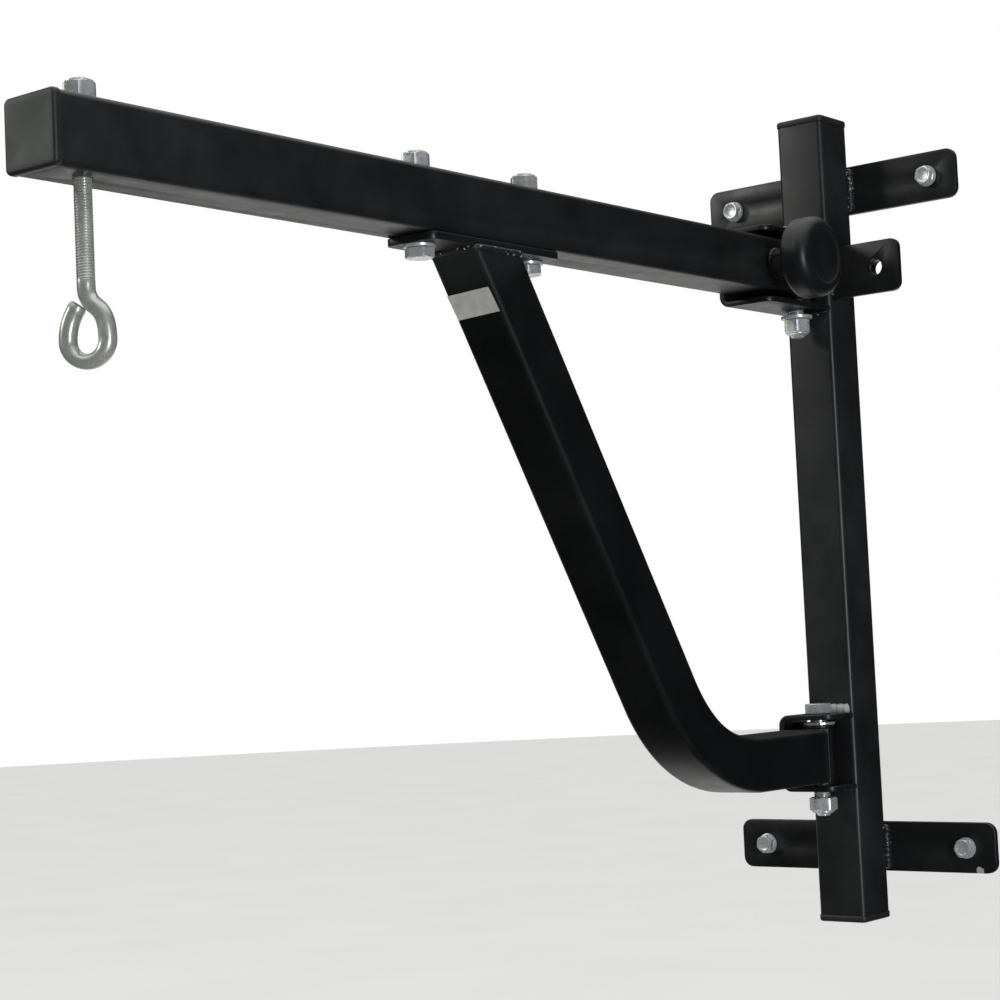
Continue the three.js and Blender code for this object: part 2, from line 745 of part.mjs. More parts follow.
const lowerBracketZ = -ARM_DROP - HINGE_SPACING;
add(bracket, "upper_bracket", upperBracket(), powderCoat, 0, postFront - upperBracketDepth, -ARM_DROP);
add(bracket, "lower_bracket", lowerBracket(), powderCoat, 0, postFront - LOWER_BRACKET_DEPTH, lowerBracketZ);
const wingBack = pivotY + halfTube + WING_CLEARANCE + BRACKET_THICKNESS;
add(bracket, "lock_wing_plate", wingPlate(), powderCoat, 0, wingBack, -ARM_DROP);
add(bracket, "wing_weld_nut", alongY(nut(M12)), powderCoat, LOCK_DISTANCE, wingBack + FIT_GAP, -ARM_DROP);
addPivotBolt(group(bracket, 0, pivotY, -ARM_DROP), "upper_pivot", UPPER_SLACK, true);
const lowerNut = addPivotBolt(group(bracket, 0, pivotY, lowerBracketZ), "lower_pivot", LOWER_SLACK, false);
lowerNut.rotation.z = LOWER_NUT_TURN;

const arm = group(bracket, 0, pivotY, -ARM_DROP);
add(arm, "arm_tube", armTube(), powderCoat);
add(arm, "arm_pivot_block", pivotBlock(), powderCoat);
addBushes(arm, "arm", ["top", "bottom"]);
const armCap = add(arm, "arm_end_cap", endCap(), blackPlastic, 0, -armEnd - FIT_GAP, 0);
armCap.rotation.x = Math.PI / 2;

add(arm, "brace_tube", braceTube(), powderCoat);
add(arm, "brace_flange", braceFlange(), powderCoat, 0, 0, flangeUnderside);
const braceHinge = group(arm, 0, 0, braceAxisZ);
add(braceHinge, "brace_pivot_block", pivotBlock(), powderCoat);
addBushes(braceHinge, "brace", ["top"]);
flangeBolts.forEach((distance, index) => addFlangeBolt(arm, index + 1, distance));
addLabel(arm);
addEye(arm);
addLock(arm);

export default bracket;
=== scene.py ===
# %% [markdown]
# A wall bracket for hanging a punch bag. A square post is welded to two wall plates, and an arm with a bent
# brace under it swings from the post on two upright pins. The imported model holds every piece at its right
# size and place, so it is loaded first, and its box is kept to compare with the finished one. Each piece
# that shows is then built again with its roundings, threads and welds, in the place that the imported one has.

import math

import bmesh
import bpy
from mathutils import Matrix, Vector, noise


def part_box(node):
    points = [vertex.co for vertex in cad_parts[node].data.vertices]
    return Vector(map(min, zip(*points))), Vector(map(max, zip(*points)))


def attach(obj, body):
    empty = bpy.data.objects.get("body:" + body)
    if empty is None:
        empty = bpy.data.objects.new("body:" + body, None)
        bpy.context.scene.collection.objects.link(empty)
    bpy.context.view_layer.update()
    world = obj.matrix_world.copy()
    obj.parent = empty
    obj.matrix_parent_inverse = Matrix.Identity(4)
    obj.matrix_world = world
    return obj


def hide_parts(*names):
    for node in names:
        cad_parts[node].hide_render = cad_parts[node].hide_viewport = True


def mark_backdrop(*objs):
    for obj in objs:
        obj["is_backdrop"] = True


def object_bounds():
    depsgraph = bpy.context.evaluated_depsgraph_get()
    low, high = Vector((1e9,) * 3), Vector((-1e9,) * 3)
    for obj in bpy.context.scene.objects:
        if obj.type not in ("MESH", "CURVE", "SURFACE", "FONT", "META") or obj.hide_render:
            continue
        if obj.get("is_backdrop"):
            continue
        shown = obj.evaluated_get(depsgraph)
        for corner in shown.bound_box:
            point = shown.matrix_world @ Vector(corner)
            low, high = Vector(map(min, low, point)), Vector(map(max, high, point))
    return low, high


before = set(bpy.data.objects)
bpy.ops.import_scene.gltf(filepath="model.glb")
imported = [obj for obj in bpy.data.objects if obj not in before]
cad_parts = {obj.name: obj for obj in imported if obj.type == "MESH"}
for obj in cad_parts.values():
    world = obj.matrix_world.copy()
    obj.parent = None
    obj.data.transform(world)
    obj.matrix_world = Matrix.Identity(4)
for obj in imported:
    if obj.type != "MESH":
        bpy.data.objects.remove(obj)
cad_low, cad_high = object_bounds()
MM = 0.001

# %% [markdown]
# Shop drawings are in millimetres and Blender works in metres. Two small helpers go between them: one reads
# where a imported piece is, and one turns a list of millimetre points into an object. All shapes are worked
# out as rings of points with a skin stretched between them, which a maker would call a loft. It suits tubes,
# nuts, bent wire and moulded caps alike, and keeps their faces in clean rows that shade well.

# %% Reading places and stretching skins
X, Y, Z = Vector((1, 0, 0)), Vector((0, 1, 0)), Vector((0, 0, 1))


def place_of(node):
    """Lowest corner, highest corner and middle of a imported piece, in millimetres."""
    low, high = (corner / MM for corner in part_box(node))
    return low, high, (low + high) / 2


def skin(rings, joined=False):
    """Points and faces of a skin through rings. Joined, the last ring meets the first, as in a washer."""
    count = len(rings[0])
    points = [Vector(point) for ring in rings for point in ring]
    faces = []
    for i in range(len(rings) if joined else len(rings) - 1):
        a, b = i * count, (i + 1) % len(rings) * count
        faces += [(a + j, a + (j + 1) % count, b + (j + 1) % count, b + j) for j in range(count)]
    if not joined:
        faces += [tuple(range(count))[::-1], tuple(range(len(points) - count, len(points)))]
    return points, faces


def make(name, form, origin=(0, 0, 0), axes=(X, Y, Z), turn=0.0):
    """Object from a skin. Its x, y and z run along axes from origin, after a turn about its z in degrees."""
    points, faces = form
    stand = Matrix(axes).transposed() @ Matrix.Rotation(math.radians(turn), 3, "Z")
    mesh = bpy.data.meshes.new(name)
    mesh.from_pydata([(Vector(origin) + stand @ point) * MM for point in points], [], faces)
    worked = bmesh.new()
    worked.from_mesh(mesh)
    bmesh.ops.recalc_face_normals(worked, faces=worked.faces)
    worked.to_mesh(mesh)
    worked.free()
    piece = bpy.data.objects.new(name, mesh)
    bpy.context.scene.collection.objects.link(piece)
    return piece


print("post stands at", [round(v, 1) for v in place_of("wall_post")[2]], "mm")

# %% [markdown]
# Sheet metal is never razor sharp: cutting and coating leave an edge about half a millimetre round, and
# those edges catch the light. Holes are cut with solid rods, then a bevel rounds every corner sharper than
# a set angle. The same step notes where the edges are, in a number called edge_wear that the paint reads,
# because a coat wears thin on the corners first.

# %% Cutting, rounding and shading
def finish_shape(piece, holes=(), forms=(), edge=0.0, steps=3, sharp=32):
    """Cuts holes, keeps what lies in forms, rounds the edges, and marks edges for the paint."""
    for tool, action in [(tool, "DIFFERENCE") for tool in holes] + [(tool, "INTERSECT") for tool in forms]:
        cut = piece.modifiers.new(action.lower(), "BOOLEAN")
        cut.operation, cut.object, cut.solver = action, tool, "EXACT"
    if edge:
        rounding = piece.modifiers.new("edge", "BEVEL")
        rounding.width, rounding.segments = edge * MM, steps
        rounding.limit_method, rounding.angle_limit = "ANGLE", math.radians(38)
    if piece.modifiers:
        seen = piece.evaluated_get(bpy.context.evaluated_depsgraph_get())
        made = bpy.data.meshes.new_from_object(seen)
        piece.modifiers.clear()
        piece.data = made
        for tool in (*holes, *forms):
            bpy.data.objects.remove(tool)
    mesh = piece.data
    mesh.polygons.foreach_set("use_smooth", [True] * len(mesh.polygons))
    mesh.set_sharp_from_angle(angle=math.radians(sharp))
    worked = bmesh.new()
    worked.from_mesh(mesh)
    worked.normal_update()
    wear = []
    for point in worked.verts:
        bends = [line.calc_face_angle(0.0) for line in point.link_edges]
        wear.append(min(1.0, max(bends, default=0.0) / math.radians(30)))
    worked.free()
    mesh.attributes.new("edge_wear", "FLOAT", "POINT").data.foreach_set("value", wear)
    return piece


DRILL_SIDES = 48


def rod(centre, axis, diameter, length):
    """Round bar used as a drill, its middle at centre."""
    side = axis.orthogonal().normalized()
    other = axis.cross(side)
    ring = [
        (side * math.cos(a) + other * math.sin(a)) * diameter / 2
        for a in (2 * math.pi * i / DRILL_SIDES for i in range(DRILL_SIDES))
    ]
    ends = [[Vector(centre) + axis * s * length / 2 + point for point in ring] for s in (-1, 1)]
    return make("drill", skin(ends))


print("edge rounding ready")

# %% [markdown]
# Colours are picked from sRGB swatches, and Blender mixes light in linear values, so one function changes
# the one to the other. A second small function adds a node with its settings and its links, and the few
# that follow it are the steps that every finish below is made of. Pattern sizes are in real millimetres.

# %% Colours and nodes
def srgb(swatch):
    """Linear colour of an sRGB swatch such as "1a1b1c"."""
    parts = [int(swatch[i : i + 2], 16) / 255 for i in (0, 2, 4)]
    return [*(p / 12.92 if p <= 0.04045 else ((p + 0.055) / 1.055) ** 2.4 for p in parts), 1.0]


def add(tree, kind, inputs=None, stops=None, **settings):
    """Adds a node. Inputs are numbers, colours or other nodes' outputs, and stops are a ramp's colours."""
    made = tree.nodes.new("ShaderNode" + kind)
    for name, value in settings.items():
        setattr(made, name, value)
    for socket, value in (inputs or {}).items():
        if isinstance(value, bpy.types.NodeSocket):
            tree.links.new(value, made.inputs[socket])
        else:
            made.inputs[socket].default_value = value
    for i, (at, swatch) in enumerate(stops or []):
        stop = made.color_ramp.elements[i] if i < 2 else made.color_ramp.elements.new(at)
        stop.position, stop.color = at, srgb(swatch)
    return made


def every(size_mm):
    """Pattern scale at which one feature is about size_mm wide."""
    return 1 / (size_mm * MM)


def new_finish(name):
    """Empty material with its surface node, and the place on the piece in metres."""
    finish = bpy.data.materials.new(name)
    finish.use_nodes = True
    tree = finish.node_tree
    tree.nodes.clear()
    surface = add(tree, "BsdfPrincipled")
    add(tree, "OutputMaterial", {"Surface": surface.outputs["BSDF"]})
    return finish, tree, surface, add(tree, "TexCoord").outputs["Object"]


def pattern(tree, place, size_mm, detail):
    """Soft random pattern whose features are about size_mm wide."""
    settings = {"Vector": place, "Scale": every(size_mm), "Detail": detail}
    return add(tree, "TexNoise", settings).outputs["Fac"]


def tones(tree, amount, *stops):
    """Colour that passes from swatch to swatch as amount rises. Each stop is (amount, swatch)."""
    return add(tree, "ValToRGB", {"Fac": amount}, stops).outputs["Color"]


def cover(tree, amount, colour, swatch):
    """Colour with a swatch laid over it by amount."""
    mixed = {"Fac": amount, "Color1": colour, "Color2": srgb(swatch)}
    return add(tree, "MixRGB", mixed).outputs["Color"]


def set_roughness(tree, surface, amount, low, high):
    """Roughness that drifts from low to high with a pattern."""
    spread = {"Value": amount, "From Min": 0.3, "From Max": 0.7, "To Min": low, "To Max": high}
    drift = add(tree, "MapRange", spread)
    tree.links.new(drift.outputs["Result"], surface.inputs["Roughness"])


def set_relief(tree, surface, amount, strength, depth_mm):
    """Fine relief in the surface, as deep as depth_mm."""
    bump = add(tree, "Bump", {"Height": amount, "Strength": strength, "Distance": depth_mm * MM})
    tree.links.new(bump.outputs["Normal"], surface.inputs["Normal"])


def edge_wear(tree):
    """The number that tells how near an edge a point is."""
    return add(tree, "Attribute", attribute_name="edge_wear").outputs["Fac"]


print("swatch 808080 is", round(srgb("808080")[0], 3), "in linear light")

# %% [markdown]
# The steel is powder coated in satin black. The powder melts into an even film with a faint orange peel, so
# a broad reflection breaks up softly. Its colour hardly changes, but dust settles on it, handling polishes
# it in patches, and the film is thinner and greyer on the edges. The peel is drawn 2.6 mm crest to crest.

# %% Satin black powder coat
CHIP_REACH, CHIP_RAGGED = 4.6, 3.0


def powder_coat(name, bare_metal_and_glints=0.0, chip=None):
    """Satin black coat. The second number, 0 to 1, is how much shows as bare metal and painted highlight; chip
    is a place in mm.
    """
    finish, tree, surface, place = new_finish(name)
    cloud = pattern(tree, place, 45, 4.0)
    colour = tones(tree, cloud, (0.3, "050607"), (0.7, "0a0b0c"))
    dust = tones(tree, pattern(tree, place, 2.2, 5.0), (0.66, "000000"), (0.74, "ffffff"))
    colour = cover(tree, dust, colour, "1d1e1d")
    rubbed = add(tree, "Math", {0: edge_wear(tree), 1: cloud}, operation="MULTIPLY")
    colour = cover(tree, rubbed.outputs["Value"], colour, "292a2b")
    # Light grey spots: partly bare metal, partly painted highlights that stand in for light caught on the weld
    # beads.
    if bare_metal_and_glints:
        more = 0.45 * bare_metal_and_glints
        bare = tones(tree, pattern(tree, place, 3.0, 2.0), (0.70 - more, "000000"), (0.76 - more, "ffffff"))
        colour = cover(tree, bare, colour, "a9acac")
    if chip:
        # A ragged spot of primer about 6 mm across, where the coat was knocked off.
        far = add(tree, "VectorMath", {0: place, 1: Vector(chip) * MM}, operation="DISTANCE")
        terms = {0: pattern(tree, place, 1.8, 3.0), 1: CHIP_RAGGED * MM, 2: far.outputs["Value"]}
        uneven = add(tree, "Math", terms, operation="MULTIPLY_ADD").outputs["Value"]
        hole = add(tree, "Math", {0: uneven, 1: CHIP_REACH * MM}, operation="LESS_THAN")
        colour = cover(tree, hole.outputs["Value"], colour, "8f908c")
    tree.links.new(colour, surface.inputs["Base Color"])
    set_roughness(tree, surface, pattern(tree, place, 18, 3.0), 0.34, 0.43)
    set_relief(tree, surface, pattern(tree, place, 2.6, 2.0), 0.5, 0.05)
    surface.inputs["IOR"].default_value = 1.5  # polyester powder
    return finish


coated_steel = powder_coat("satin_black_powder_coat")
chipped_steel = powder_coat("chipped_powder_coat", chip=(98, -5, -531.2))
# Light grey on the beads is partly bare metal and partly painted highlight: specks on the coated beads, all of
# the bare one.
coated_weld = powder_coat("powder_coated_weld_with_spatter_and_painted_glints", 0.16)
bare_bead_and_painted_highlight = powder_coat("bare_bead_metal_and_painted_highlight", 1.0)
print("coat made for steel and for welds")

# %% [markdown]
# The end caps and the knob are injection moulded. The caps are polypropylene with a fine spark-eroded grain,
# drawn 0.9 mm wide, which scatters light and makes them look greyer than the coat. The knob is a smoother
# and slightly rubbery plastic. Both have faint clouds of tone, as a melt leaves when it flows and sets.

# %% Moulded plastics
def moulded(name, dark, light, low, high, grain_mm, depth_mm):
    """Injection-moulded plastic: two close tones, a roughness range, and a grain of that width and depth."""
    finish, tree, surface, place = new_finish(name)
    flow = pattern(tree, place, 22, 4.0)
    worn = add(tree, "Math", {0: edge_wear(tree), 1: 0.35}, operation="MULTIPLY").outputs["Value"]
    colour = cover(tree, worn, tones(tree, flow, (0.3, dark), (0.7, light)), "303231")
    tree.links.new(colour, surface.inputs["Base Color"])
    set_roughness(tree, surface, flow, low, high)
    set_relief(tree, surface, pattern(tree, place, grain_mm, 3.0), 0.6, depth_mm)
    surface.inputs["IOR"].default_value = 1.49
    return finish


cap_plastic = moulded("moulded_polypropylene_cap", "191b1a", "212320", 0.44, 0.54, 0.9, 0.04)
knob_plastic = moulded("moulded_knob_plastic", "0b0c0e", "111215", 0.36, 0.48, 1.6, 0.02)
ring_nylon = moulded("natural_nylon", "c4c1b4", "d8d5ca", 0.40, 0.55, 1.2, 0.02)
# The bushes are drawn near black, unlike the natural nylon of the lock-nut rings.
bush_nylon = moulded("bush_nylon_drawn_near_black", "101112", "1a1b1c", 0.42, 0.58, 1.2, 0.02)
print("plastics made")

# %% [markdown]
# Nuts, bolts and washers are zinc plated and passivated, which leaves bright metal with a faint blue and
# here and there a straw tint. The eye bolt is bent from drawn bar and plated by the barrel-load, so it is
# duller and greener. Passivated plate is not a clean mirror, so about a third of the surface is treated as a
# chalky bloom that scatters light. The rest is metal, whose colours are those of its reflections.

# %% Zinc plate
def zinc_plate(name, cool, warm, low, high, mark_mm, bare):
    """Zinc plate: two tints, a roughness range, tool marks that wide. The part not bare is a chalky bloom."""
    finish, tree, surface, place = new_finish(name)
    tint = tones(tree, pattern(tree, place, 9, 4.0), (0.36, cool), (0.66, warm))
    tree.links.new(tint, surface.inputs["Base Color"])
    surface.inputs["Metallic"].default_value = bare
    set_roughness(tree, surface, pattern(tree, place, 4, 5.0), low, high)
    set_relief(tree, surface, pattern(tree, place, mark_mm, 2.0), 0.3, 0.03)
    return finish


bright_zinc = zinc_plate("bright_zinc_plate", "d2d9df", "dedfd8", 0.22, 0.38, 1.5, 0.66)
dull_zinc = zinc_plate("dull_zinc_on_bent_bar", "b4b9b0", "c6c9be", 0.24, 0.38, 2.4, 0.62)
print("zinc made")

# %% [markdown]
# The brace carries one small sticker of coated paper. It is blank here. Paper is never quite even, so its
# tone drifts a little and its fibres show as a fine relief.

# %% Sticker paper
label_paper, tree, surface, place = new_finish("coated_label_paper")
tone = tones(tree, pattern(tree, place, 7, 5.0), (0.32, "8f8f8b"), (0.68, "a0a09c"))
tree.links.new(tone, surface.inputs["Base Color"])
set_relief(tree, surface, pattern(tree, place, 0.8, 3.0), 0.4, 0.04)
surface.inputs["Roughness"].default_value = 0.5
surface.inputs["IOR"].default_value = 1.47
print("paper made")

# %% [markdown]
# Each finished piece has to be told three things: its finish, the body it moves with, and the imported
# pieces it stands for.

# %% Handing a piece over
def fit(piece, body, finish, slot, *stands_for):
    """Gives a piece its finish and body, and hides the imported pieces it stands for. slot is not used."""
    piece.data.materials.clear()
    piece.data.materials.append(finish)
    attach(piece, body)
    if stands_for:
        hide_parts(*stands_for)
    return piece


print("ready to fit pieces")

# %% [markdown]
# Post, arm and brace are one size of square steel tube, 40 mm with 2.5 mm walls and 4 mm round corners. The
# round corners make the long thin highlights, so they get nine steps each. A tube is a skin that runs out
# along the outside and back along the inside, which leaves real open ends for the caps to plug.

# %% Square tube
TUBE, WALL, CORNER = 40.0, 2.5, 4.0


def rounded_outline(width, height, radii, steps=8):
    """Outline round the origin. Radii go lower left, lower right, upper right, upper left."""
    outline = []
    for i, (sx, sy) in enumerate([(-1, -1), (1, -1), (1, 1), (-1, 1)]):
        radius = max(radii[i], 0.01)
        middle = Vector((sx * (width / 2 - radius), sy * (height / 2 - radius)))
        for k in range(steps + 1):
            a = math.pi + (i + k / steps) * math.pi / 2
            outline.append(middle + radius * Vector((math.cos(a), math.sin(a))))
    return outline


OUTSIDE = rounded_outline(TUBE, TUBE, [CORNER] * 4)
INSIDE = rounded_outline(TUBE - 2 * WALL, TUBE - 2 * WALL, [CORNER - WALL] * 4)


def square_tube(name, stations):
    """Tube through stations, each a middle with the directions of the section's two sides."""
    rings = []
    for section, run in ((OUTSIDE, stations), (INSIDE, stations[::-1])):
        rings += [[middle + across * p.x + deep * p.y for p in section] for middle, across, deep in run]
    return make(name, skin(rings, joined=True))


low, high, middle = place_of("wall_post")
ends = [(Vector((middle.x, middle.y, z)), X, Y) for z in (low.z, high.z)]
post = finish_shape(square_tube("post_tube", ends))
fit(post, "wall_frame", coated_steel, "powder_coat", "wall_post")
print("post", round(high.z - low.z), "mm tall,", len(post.data.polygons), "faces")

# %% [markdown]
# The arm is drilled through for the lock screw, the two brace bolts and the eye bolt. The hole for the eye
# bolt is 1 mm larger than its shank, and shows as a dark ring under the arm.

# %% Arm tube
M8, M10, M12 = 8.0, 10.0, 12.0
HOLE_ROOM = 1.0
low, high, middle = place_of("arm_tube")
ends = [(Vector((0, y, middle.z)), X, Z) for y in (low.y, high.y)]
lock_line = place_of("lock_screw")[2]
pins = [place_of(node)[2] for node in ("brace_bolt_1_nut", "brace_bolt_2_nut", "eye_nut")]
drills = [rod((0, pin.y, middle.z), Z, M10 + HOLE_ROOM, 60) for pin in pins]
drills.append(rod((0, lock_line.y, middle.z), X, M12 + HOLE_ROOM, 60))
arm = finish_shape(square_tube("arm_tube_drilled", ends), drills, edge=0.3, steps=2)
fit(arm, "arm", coated_steel, "powder_coat", "arm_tube")
print("arm", round(high.y - low.y), "mm long with", len(drills), "holes")

# %% [markdown]
# The brace leans down from the arm and is bent level where it reaches the post. When a tube is bent, its
# outer wall stretches and sinks, its sides spread a little, and the inner wall puckers. Those three changes
# are worked into the section, strongest in the middle of the bend, because they move the highlights there.

# %% Bent brace tube
LEAN, BEND_RADIUS, SINK, SPREAD, PUCKER = math.radians(31.8), 110.0, 2.6, 0.5, 1.1
hinge = place_of("lower_pivot_bolt")[2].y
flange_low = place_of("brace_flange")[0]
brace_top = Vector((0, place_of("brace_flange")[2].y, flange_low.z))
brace_low, brace_high, _ = place_of("brace_tube")
level = brace_low.z + TUBE / 2
down = Vector((0, math.sin(LEAN), -math.cos(LEAN)))
outward = Vector((0, -math.cos(LEAN), -math.sin(LEAN)))
run = (flange_low.z - level) / math.cos(LEAN)
bend_start = brace_top + down * (run - BEND_RADIUS * math.tan((math.pi / 2 - LEAN) / 2))
bend_middle = bend_start - outward * BEND_RADIUS
STRAIGHT, BENT, LEVEL = 14, 44, 10
stations = []
for i in range(STRAIGHT):
    stations.append((0.0, brace_top.lerp(bend_start, i / STRAIGHT), outward))
for i in range(BENT + 1):
    a = math.pi + LEAN + (math.pi / 2 - LEAN) * i / BENT
    out = Vector((0, math.cos(a), math.sin(a)))
    stations.append((math.sin(math.pi * i / BENT) ** 0.8, bend_middle + out * BEND_RADIUS, out))
bend_end = stations[-1][1]
for i in range(1, LEVEL + 1):
    stations.append((0.0, bend_end.lerp(Vector((0, brace_high.y, level)), i / LEVEL), -Z))


def brace_ring(station, section, first):
    """One ring of the brace, sunk, spread and puckered by how far into the bend it is."""
    bent, at, out = station
    ring = []
    for p in section:
        sunk = SINK * bent * max(0.0, p.y / (TUBE / 2)) ** 3 * (1 - 0.25 * (p.x / (TUBE / 2)) ** 2)
        pucker = PUCKER * bent**3 * max(0.0, -p.y / (TUBE / 2)) ** 3
        wide = 1 + SPREAD * bent / (TUBE / 2)
        point = at + X * p.x * wide + out * (p.y - sunk + pucker)
        if first:
            point += down * ((brace_top.z - 0.3 - point.z) / down.z)
        ring.append(point)
    return ring


rings = [brace_ring(s, OUTSIDE, i == 0) for i, s in enumerate(stations)]
rings += [brace_ring(s, INSIDE, i == 0) for i, s in enumerate(stations)][::-1]
brace = finish_shape(make("brace_tube_bent", skin(rings, joined=True)))
fit(brace, "arm", coated_steel, "powder_coat", "brace_tube")
print("brace lean run", round(run), "mm, bend radius", BEND_RADIUS, "mm")

# %% [markdown]
# The wall plates, the wing and the brace's flange are flat bar, sheared, drilled and linished. Each is an
# outline pushed to its thickness, with its holes drilled and its edges rounded.

# %% Flat bar pieces
def flat_bar(name, node, normal, radii, holes, edge=0.7):
    """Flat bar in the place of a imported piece. normal is the thin direction, holes are (middle, diameter)."""
    low, high, middle = place_of(node)
    size = high - low
    across, up = (X, Z) if normal is Y else (X, Y)
    width, height, thick = (abs(size.dot(axis)) for axis in (across, up, normal))
    outline = rounded_outline(width, height, radii)
    faces = [[middle + across * p.x + up * p.y + normal * s * thick / 2 for p in outline] for s in (-1, 1)]
    drills = [rod(at, normal, diameter, 30) for at, diameter in holes]
    return finish_shape(make(name, skin(faces)), drills, edge=edge)


for level_name in ("upper", "lower"):
    node = f"wall_plate_{level_name}"
    anchors = [place_of(f"anchor_{level_name}_{side}_bolt")[2] for side in ("left", "right")]
    plate = flat_bar(f"{node}_bar", node, Y, [8] * 4, [(at, M8 + HOLE_ROOM) for at in anchors])
    fit(plate, "wall_frame", chipped_steel if level_name == "lower" else coated_steel, "powder_coat", node)

wing_low, wing_high, wing_middle = place_of("lock_wing_plate")
WING_HOLE_X = 58.0
wing_hole = Vector((WING_HOLE_X, wing_middle.y, wing_middle.z))
wing = flat_bar("lock_wing_bar", "lock_wing_plate", Y, [0, 7, 7, 0], [(wing_hole, M12 + HOLE_ROOM)], 0.6)
fit(wing, "wall_frame", coated_steel, "powder_coat", "lock_wing_plate")
bolt_holes = [(pin, M10 + HOLE_ROOM) for pin in pins[:2]]
flange = flat_bar("brace_flange_bar", "brace_flange", Z, [6] * 4, bolt_holes, 0.6)
fit(flange, "arm", coated_steel, "powder_coat", "brace_flange")
print("flat bars done, wing", round(wing_high.x - wing_low.x, 1), "mm wide")

# %% [markdown]
# The two brackets are 4 mm sheet folded into a channel: a web on one side and two flanges that hold the pin.
# The folded section is pushed along the arm's direction, then trimmed to its plan with one round corner, and
# drilled for the pin and, on the long one, for the lock screw.

# %% Folded channel brackets
def channel_bracket(name, node, extra_drills=()):
    """Folded bracket in the place of a packed one."""
    sheet, fold = 4.0, 8.0
    low, high, middle = place_of(node)
    half = (high.z - low.z) / 2

    def fold_line(x, z, radius, start, turn):
        arc = [math.radians(start + turn * k / 8) for k in range(9)]
        return [(x + radius * math.cos(a), z + radius * math.sin(a)) for a in arc]

    outer = [(high.x, half), *fold_line(low.x + fold, half - fold, fold, 90, 90)]
    outer += [*fold_line(low.x + fold, fold - half, fold, 180, 90), (high.x, -half)]
    inner = [(high.x, sheet - half), *fold_line(low.x + fold, fold - half, fold - sheet, 270, -90)]
    inner += [*fold_line(low.x + fold, half - fold, fold - sheet, 180, -90), (high.x, half - sheet)]
    section = [Vector((x, 0, middle.z + z)) for x, z in outer + inner]
    blank = make(name, skin([[p + Y * y for p in section] for y in (low.y, high.y)]))
    width, deep = high.x - low.x, high.y - low.y
    plan = rounded_outline(width + 0.02, deep + 0.02, [0, 8, 0, 0])
    walls = [[Vector((middle.x + p.x, middle.y + p.y, middle.z + s * 40)) for p in plan] for s in (-1, 1)]
    pin_drill = rod((0, hinge, middle.z), Z, M12 + HOLE_ROOM, 90)
    return finish_shape(blank, [pin_drill, *extra_drills], [make("plan", skin(walls))], edge=0.5)


LOCK_PLAY = 1.5
web_drill = rod((-22, lock_line.y, lock_line.z), X, M12 + 2 * LOCK_PLAY, 20)
upper = channel_bracket("upper_bracket_folded", "upper_bracket", [web_drill])
fit(upper, "wall_frame", coated_steel, "powder_coat", "upper_bracket")
lower = channel_bracket("lower_bracket_folded", "lower_bracket")
fit(lower, "wall_frame", coated_steel, "powder_coat", "lower_bracket")
print("brackets folded:", len(upper.data.polygons), "and", len(lower.data.polygons), "faces")

# %% [markdown]
# The end caps are pushed-in plugs with a rounded square head that stands 0.5 mm proud of the tube. The head
# is a stack of outlines: straight sides, a 2 mm rounding, then a face that sinks very slightly in the
# middle, as moulded plastic does when it cools.

# %% End caps
FLIPPED, TO_ROOM, ALONG_X = (X, -Y, -Z), (X, Z, -Y), (-Z, Y, X)
CAP_HEAD = 5.0


def end_cap(name, node, origin, axes):
    """Plug cap with its head along the third axis from origin."""
    head, height, rounding, sink = TUBE + 1.0, CAP_HEAD, 2.0, 0.35
    plug = TUBE - 2 * WALL - 0.6
    sections = [(plug - 3, -16, 1.0), (plug, -14.5, 1.5), (plug, 0, 1.5)]
    sections += [(head - 0.4, 0, 3.9), (head, 0.3, 4.0), (head, height - rounding, 4.0)]
    for k in range(1, 7):
        a = math.pi / 2 * k / 6
        inset = rounding * (1 - math.cos(a))
        sections.append((head - 2 * inset, height - rounding + rounding * math.sin(a), 4.0 - inset))
    sections += [(head - 9, height - 0.02, 2.0), (head - 18, height - 0.6 * sink, 2.0)]
    sections.append((6, height - sink, 1.0))
    rings = [[Vector((p.x, p.y, z)) for p in rounded_outline(side, side, [r] * 4)] for side, z, r in sections]
    cap = finish_shape(make(name, skin(rings), origin, axes), sharp=50)
    body = "arm" if node == "arm_end_cap" else "wall_frame"
    return fit(cap, body, cap_plastic, "black_plastic", node)


for node, upright in (("post_cap_top", True), ("post_cap_bottom", False)):
    low, high, middle = place_of(node)
    seat = high.z - CAP_HEAD if upright else low.z + CAP_HEAD
    end_cap(f"{node}_moulded", node, (middle.x, middle.y, seat), (X, Y, Z) if upright else FLIPPED)
low, high, middle = place_of("arm_end_cap")
end_cap("arm_end_cap_moulded", "arm_end_cap", (0, low.y + CAP_HEAD, middle.z), TO_ROOM)
print("three caps fitted")

# %% [markdown]
# Nuts and bolt heads are hexagon bar with the corners turned off by a cone. That cone leaves a curved line
# on each flat, and no bevel makes it right, so the hexagon is worked out ring by ring: at each angle the
# corner's reach is known, and the cone sets its height. Threads are real too. The ring's radius goes up and
# down with the height less the angle, which winds one groove round the bar.

# %% Hexagons, washers and threads
FLATS = {M8: 13, M10: 17, M12: 19}
PITCH = {M8: 1.25, M10: 1.5, M12: 1.75}
ROWS_A_TURN = 6
COLUMNS = 48
ANGLES = [2 * math.pi * i / COLUMNS for i in range(COLUMNS)]


def hex_reach(angle, flats):
    """Distance from the axis to a hexagon's side, with its very corners blunted."""
    off = angle % (math.pi / 3) - math.pi / 6
    return min(flats / 2 / math.cos(off), flats / math.sqrt(3) - 0.02 * flats)


def round_ring(radius, z):
    return [Vector((radius * math.cos(a), radius * math.sin(a), z)) for a in ANGLES]


def hex_ring(flats, z, toward):
    """Ring on the hexagon's sides. toward is 1 to slope down from the top, -1 to slope up, 0 for flat."""
    start = 0.47 * flats
    ring = []
    for a in ANGLES:
        reach = hex_reach(a, flats)
        height = z - toward * (reach - start) * math.tan(math.radians(30))
        ring.append(Vector((reach * math.cos(a), reach * math.sin(a), height)))
    return ring


